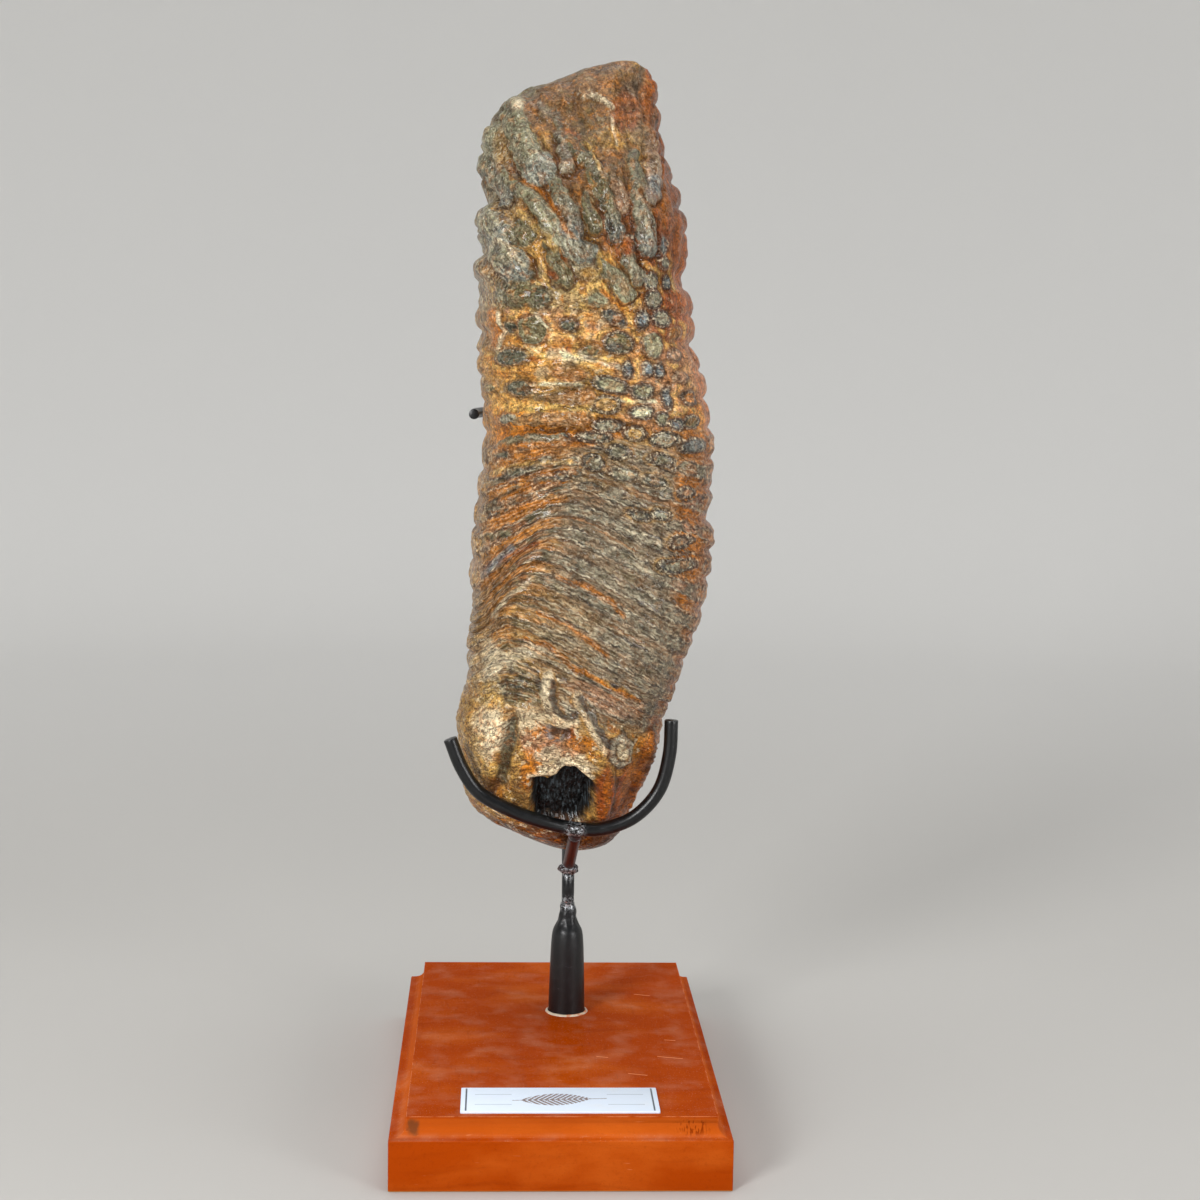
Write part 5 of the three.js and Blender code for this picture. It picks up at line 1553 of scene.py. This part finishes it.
            core.lay(form.tone, cover * 0.85)
            cement.lay(form.tone, cover * 0.85)
        seam = midway * smoothstep(gap, 0.9, 1.5) * smoothstep(gap, 3.2, 2.0)
        seam = seam * smoothstep(coarse + middle, -0.2, 0.2)
        cement.lay(Tone.YELLOW, seam * 0.7)
        self.flank_tones(core, cement, places, angle, (coarse, middle))
        # Painted light and shade by height
        light = self.light(places[:, 2])[:, None]
        return np.clip(core.colours * light, 0, 1), np.clip(cement.colours * light, 0, 1)

    def flank_tones(self, core: "Coat", cement: "Coat", places: np.ndarray, angle: np.ndarray,
                    noises: tuple[np.ndarray, ...]) -> None:
        """Tones of both flanks, of the root side at the back and of the underside."""
        coarse, middle = noises
        z = places[:, 2] + 5 * coarse
        side = np.sin(angle)
        to_flank = smoothstep(np.cos(angle), 0.72, 0.5)
        right, left = to_flank * smoothstep(side, 0.1, 0.4), to_flank * smoothstep(side, -0.1, -0.4)
        for coat in (core, cement):
            coat.lay(Tone.TAN, right * 0.85)
            coat.lay(Tone.ORANGE, right * smoothstep(middle, -0.15, 0.35) * 0.65)
            coat.lay(Tone.PINK_BUFF, right * smoothstep(z, 255, 268) * smoothstep(z, 302, 288) * 0.7)
            coat.lay(Tone.RUST, right * smoothstep(z, 285, 310) * 0.7)
            coat.lay(Tone.OLIVE_PALE, left * smoothstep(z + 14 * middle, 272, 325) * 0.85)
            coat.lay(Tone.OCHRE, left * smoothstep(z + 14 * middle, 325, 272) * 0.8)
            warm = smoothstep(z, 275, 262) * smoothstep(z, 190, 205) * smoothstep(middle, -0.2, 0.3)
            coat.lay(Tone.ORANGE, left * warm * 0.35)
            coat.lay(Tone.YELLOW, left * smoothstep(z, 170, 150) * 0.7)
        cement.lay(Tone.UMBER, left * 0.45)
        cement.lay(Tone.RUST, right * 0.5)
        core.lay(Tone.GREY, left * smoothstep(middle, 0.1, 0.5) * 0.6)
        rear = smoothstep(np.cos(angle), 0.05, -0.3)
        core.lay(Tone.OCHRE, rear * 0.7)
        cement.lay(Tone.RED_BROWN, rear * 0.7)
        for coat in (core, cement):
            coat.lay(Tone.CREAM, rear * smoothstep(middle + coarse, 0.25, 0.8) * 0.6)
            coat.lay(Tone.ROOT, smoothstep(places[:, 2] + 2 * middle, 112, 100) * 0.7)

    def keep_clear(self, places: np.ndarray, rods: Sequence[tuple[Sequence[Vector], float]]) -> np.ndarray:
        """Presses the surface back where a rod passes too close to it."""
        for path, radius in rods:
            points = np.array([tuple(point) for point in path])
            low, high = points.min(0) - radius - 1, points.max(0) + radius + 1
            near = np.where(np.all((places > low) & (places < high), axis=1))[0]
            if not len(near):
                continue
            offsets = places[near][:, None, :] - points[None]
            distances = np.linalg.norm(offsets, axis=2)
            nearest = distances.argmin(1)
            distance = distances[np.arange(len(near)), nearest]
            wanted = np.maximum(distance, radius + self.rod_clearance)
            offset = offsets[np.arange(len(near)), nearest]
            places[near] += offset * ((wanted / distance) - 1)[:, None]
        return places

    def fit_box(self, places: np.ndarray) -> np.ndarray:
        """Draws the mesh in where it would stand out of the CAD node's box."""
        low, high = (np.array(corner) for corner in box_of("molar"))
        low, high = low + self.inside_box, high - self.inside_box
        middle = (low + high) / 2
        above, below = (places.max(0) - middle) / (high - middle), (middle - places.min(0)) / (middle - low)
        over = np.maximum(above, below)
        LOG.info("tooth drawn in by %s", np.maximum(over, 1).round(4))
        return np.clip(middle + (places - middle) / np.maximum(over, 1), low, high)


class Coat:
    """Tones laid over one another on the vertices."""

    def __init__(self, count: int, ground: Tone) -> None:
        """Starts with one tone everywhere."""
        self.colours = np.tile(np.array(ground.linear), (count, 1))

    def lay(self, tone: Tone, cover: np.ndarray) -> None:
        """Lays a tone over the others, as thickly as cover says."""
        self.colours += (np.array(tone.linear) - self.colours) * np.clip(cover, 0, 1)[:, None]


@dataclass
class Cradle:
    """Turned socket with its glue, and the welded rods that carry the tooth."""

    stem: tuple[float, float] = (5.15, 26.5)
    base: float = field(default_factory=lambda: box_of("base_plinth")[1].z)
    socket_radius: Stations = Stations(
        (0, 7.3), (26, 6.6), (30, 6.35), (33.2, 5.9), (35.8, 4.6), (38.4, 3.7), (41.4, 3.2), (44.6, 2.7))
    socket_height: float = 44.6
    bead_width: float = 0.9
    bead_height: float = 0.7
    bead_inner: float = 7.6
    hoop_rod: float = 5.3
    spine_rod: float = 5.0
    strut_rod: float = 4.9
    arm_rod: float = 4.1
    sides: int = 22
    hoop_route: tuple[Place, ...] = (
        (-41.6, -7.4, 142.6), (-37, -7.3, 131.2), (-30.5, -7, 121.9), (-18, -7.5, 114.9), (-5, -6.6, 110.2),
        (6.5, -4.7, 107.4), (17.5, -4.5, 107.4), (29.2, -4.5, 112), (38.4, -4.5, 122.2), (42.3, -4.5, 136),
        (42.9, -4.5, 149.9))
    spine_route: tuple[Place, ...] = (
        (5.15, 26.5, 70.6), (5.15, 26.6, 80), (5.2, 32, 86.5), (5.4, 44, 91), (6.2, 57, 103), (7, 65, 124),
        (8.4, 71, 158), (10.2, 79, 200), (12.2, 84, 236), (13.4, 85.5, 263))
    strut_route: tuple[Place, ...] = ((5.2, 27.5, 84.6), (6.5, -3.6, 104.2))
    arm_height: float = 264.2
    arm_from: float = -104.0
    arm_to: float = -227.0
    arm_places: int = 9
    flank_gap: float = 0.7
    back_gap: float = 3.4
    welds: tuple[Place, ...] = ((5.3, 24.8, 84.4), (6.4, -6.3, 107.2))
    weld_radius: float = 2.7
    weld_spread: Place = (1.6, 1.0, 0.95)

    def arm_route(self, form: ToothForm) -> list[Place]:
        """Places of the arm, an even distance from the tooth's smooth form."""
        route = []
        for share in np.linspace(0, 1, self.arm_places):
            angle = math.radians(blend(self.arm_from, self.arm_to, share))
            before = form.smooth_place(self.arm_height, angle - form.angle_step)
            tangent = form.smooth_place(self.arm_height, angle + form.angle_step) - before
            aside = Vector((tangent[1], -tangent[0], 0)).normalized()
            gap = blend(self.flank_gap, self.back_gap, max(0.0, -math.cos(angle)) ** 0.5)
            place = Vector(form.smooth_place(self.arm_height, angle)) + aside * (self.arm_rod / 2 + gap)
            route.append(tuple(place))
        return route

    def paths(self, form: ToothForm) -> dict[str, tuple[list[Vector], float]]:
        """Path and radius of every rod."""
        return {
            "spine_rod": (curve_through(self.spine_route, 8), self.spine_rod / 2),
            "cradle_strut": (curve_through(self.strut_route, 12), self.strut_rod / 2),
            "cradle_hoop": (curve_through(self.hoop_route, 8), self.hoop_rod / 2),
            "back_arm": (curve_through(self.arm_route(form), 8), self.arm_rod / 2),
        }

    def build(self, form: ToothForm) -> None:
        """Builds the socket, its glue and the rods."""
        self.socket()
        self.glue()
        titles = {"spine_rod": "bent_spine", "cradle_strut": "welded_strut", "cradle_hoop": "open_hoop",
                  "back_arm": "reaching_arm"}
        for node, (path, radius) in self.paths(form).items():
            bm = rod(path, radius, self.sides)
            finish = BlackPaint()
            if node == "cradle_strut":
                self.add_welds(bm)
                # The strut gets a painted wine-red reflection of the wooden plinth
                finish = BlackPaint("painted_steel_reflecting_wood", gloss=0.45, wood_reflection=0.9)
            made = finish_piece(bm, titles[node], node, finish)
            self.mark_welds(made.data)

    def add_welds(self, bm: bmesh.types.BMesh) -> None:
        """Adds the lumpy bead at each end of the strut."""
        for place in self.welds:
            ball = bmesh.ops.create_icosphere(bm, subdivisions=4, radius=self.weld_radius,
                                              matrix=Matrix.Translation(place))["verts"]
            for vertex in ball:
                outward = vertex.co - Vector(place)
                lump = 0.22 * noise.noise(vertex.co / 1.8) + 0.04 * noise.noise(vertex.co / 0.8)
                vertex.co = Vector(place) + outward * Vector(self.weld_spread) * (0.94 + lump)

    def mark_welds(self, mesh: bpy.types.Mesh) -> None:
        """Paints how close each vertex is to a weld, where the paint lets metal through."""
        places = np.array([vertex.co for vertex in mesh.vertices]) / MM
        marks = [*self.welds, (*self.stem, self.base + self.socket_height)]
        nearest = np.min([np.linalg.norm(places - np.array(mark), axis=1) for mark in marks], axis=0)
        paint_vertices(mesh, "weld", smoothstep(nearest, self.weld_radius + 2.2, self.weld_radius - 0.4))

    def socket(self) -> None:
        """The turned socket, tapering to the spine's foot, with the weld's drips on its neck."""
        heights = [0.0, 0.25, *np.linspace(1, 30, 16), *np.linspace(30.8, self.socket_height, 20)]
        profile = [(0.0, 0.0), (self.socket_radius(0) - 0.35, 0.0)]
        profile += [(float(self.socket_radius(height)), float(height)) for height in heights[1:]]
        profile += [(0.0, self.socket_height)]
        bm = turned(profile, *self.stem, self.base, 56)
        for vertex in bm.verts:
            height = vertex.co.z - self.base
            if 33 < height < self.socket_height - 0.1:
                aside = Vector((vertex.co.x - self.stem[0], vertex.co.y - self.stem[1], 0))
                lump = 0.16 * noise.noise(vertex.co / 2.2) * smoothstep(height, 33, 38)
                vertex.co += aside * float(lump)
        finish = BlackPaint("painted_steel_satin", gloss=0.42)
        made = finish_piece(bm, "turned_socket", "stem_socket", finish)
        self.mark_welds(made.data)

    def glue(self) -> None:
        """The ring of glue round the socket's foot, a little uneven."""
        inner, width, height = self.bead_inner, self.bead_width, self.bead_height
        turns = np.linspace(0, math.pi / 2, 5)
        outer = [(inner + width * math.cos(turn), height * math.sin(turn)) for turn in turns]
        bm = turned([(inner, 0), *outer, (inner, 0)], *self.stem, self.base, 72)
        for vertex in bm.verts:
            if vertex.co.z > self.base + 0.01:
                vertex.co.z -= 0.25 * abs(noise.noise(vertex.co / 3.0))
        finish_piece(bm, "glue_ring", "foot_glue_bead", DriedGlue(), 60)


@dataclass
class Studio:
    """Pale floor, soft lights and the camera at the photograph's angle."""

    place: Place = (-23.155, -844.922, 295.621)
    yaw: float = 2.588
    pitch: float = 6.760
    roll: float = 0.858
    lens: float = 66.9
    sensor: float = 36.0
    floor_radius: float = 1.2
    wall_bend: float = 1.0
    wall_height: float = 2.4
    floor_gap: float = 0.05 * MM
    aim: Place = (0.01, 0, 0.22)
    lamps: tuple[tuple[str, Place, float, float], ...] = (
        ("key_softbox", (-0.75, -1.15, 0.6), 0.4, 16), ("fill_softbox", (0.95, -1.0, 0.4), 0.45, 7.5),
        ("top_softbox", (0.05, 0.05, 1.3), 1.2, 11))
    sky: float = 0.27

    def build(self) -> None:
        """Adds the floor, the light and the camera."""
        self.floor()
        for lamp in self.lamps:
            self.light(*lamp)
        world = bpy.data.worlds.new("soft_room")
        world.use_nodes = True
        world.node_tree.nodes["Background"].inputs["Color"].default_value = (0.94, 0.96, 1, 1)
        world.node_tree.nodes["Background"].inputs["Strength"].default_value = self.sky
        bpy.context.scene.world = world
        bpy.context.scene.view_settings.view_transform = "Standard"
        self.camera()

    def floor(self) -> None:
        """The floor, just under the plinth, swept up into a plain wall all round."""
        turns = np.linspace(0, math.pi / 2, 13)
        rise = [(self.floor_radius + self.wall_bend * math.sin(turn), self.wall_bend * (1 - math.cos(turn)))
                for turn in turns]
        wall_top = (self.floor_radius + self.wall_bend, self.wall_height)
        bm = turned([(0, 0), *rise, wall_top], 0, 0, -self.floor_gap, 64)
        bmesh.ops.reverse_faces(bm, faces=bm.faces)
        floor = mesh_object(bm, "floor", PlainFloor())

    def light(self, name: str, place: Place, size: float, power: float) -> None:
        """A square soft light aimed at the tooth."""
        data = bpy.data.lights.new(name, "AREA")
        data.size, data.energy = size, power
        lamp = bpy.data.objects.new(name, data)
        lamp.location = place
        lamp.rotation_euler = (Vector(self.aim) - Vector(place)).to_track_quat("-Z", "Y").to_euler()
        bpy.context.scene.collection.objects.link(lamp)

    def camera(self) -> None:
        """The camera, placed from the photograph's perspective."""
        yaw, pitch, roll = (math.radians(turn) for turn in (self.yaw, self.pitch, self.roll))
        ahead = Vector((math.sin(yaw) * math.cos(pitch), math.cos(yaw) * math.cos(pitch), -math.sin(pitch)))
        level = Vector((math.cos(yaw), -math.sin(yaw), 0))
        upright = level.cross(ahead)
        right = math.cos(roll) * level + math.sin(roll) * upright
        up = math.cos(roll) * upright - math.sin(roll) * level
        data = bpy.data.cameras.new("camera")
        data.lens, data.sensor_width = self.lens, self.sensor
        data.clip_start = 0.01
        eye = bpy.data.objects.new("camera", data)
        turn = Matrix((right, up, -ahead)).transposed().to_4x4()
        eye.matrix_world = Matrix.Translation(Vector(self.place) * MM) @ turn
        bpy.context.scene.collection.objects.link(eye)
        bpy.context.scene.camera = eye


def main() -> None:
    """Builds every piece in order."""
    logging.basicConfig(level=logging.INFO, format="%(name)s: %(message)s", stream=sys.stdout)
    Studio().build()
    Plinth().build()
    form, cradle = ToothForm(), Cradle()
    cradle.build(form)
    Molar(form).build(list(cradle.paths(form).values()))


if __name__ == "__main__":
    main()
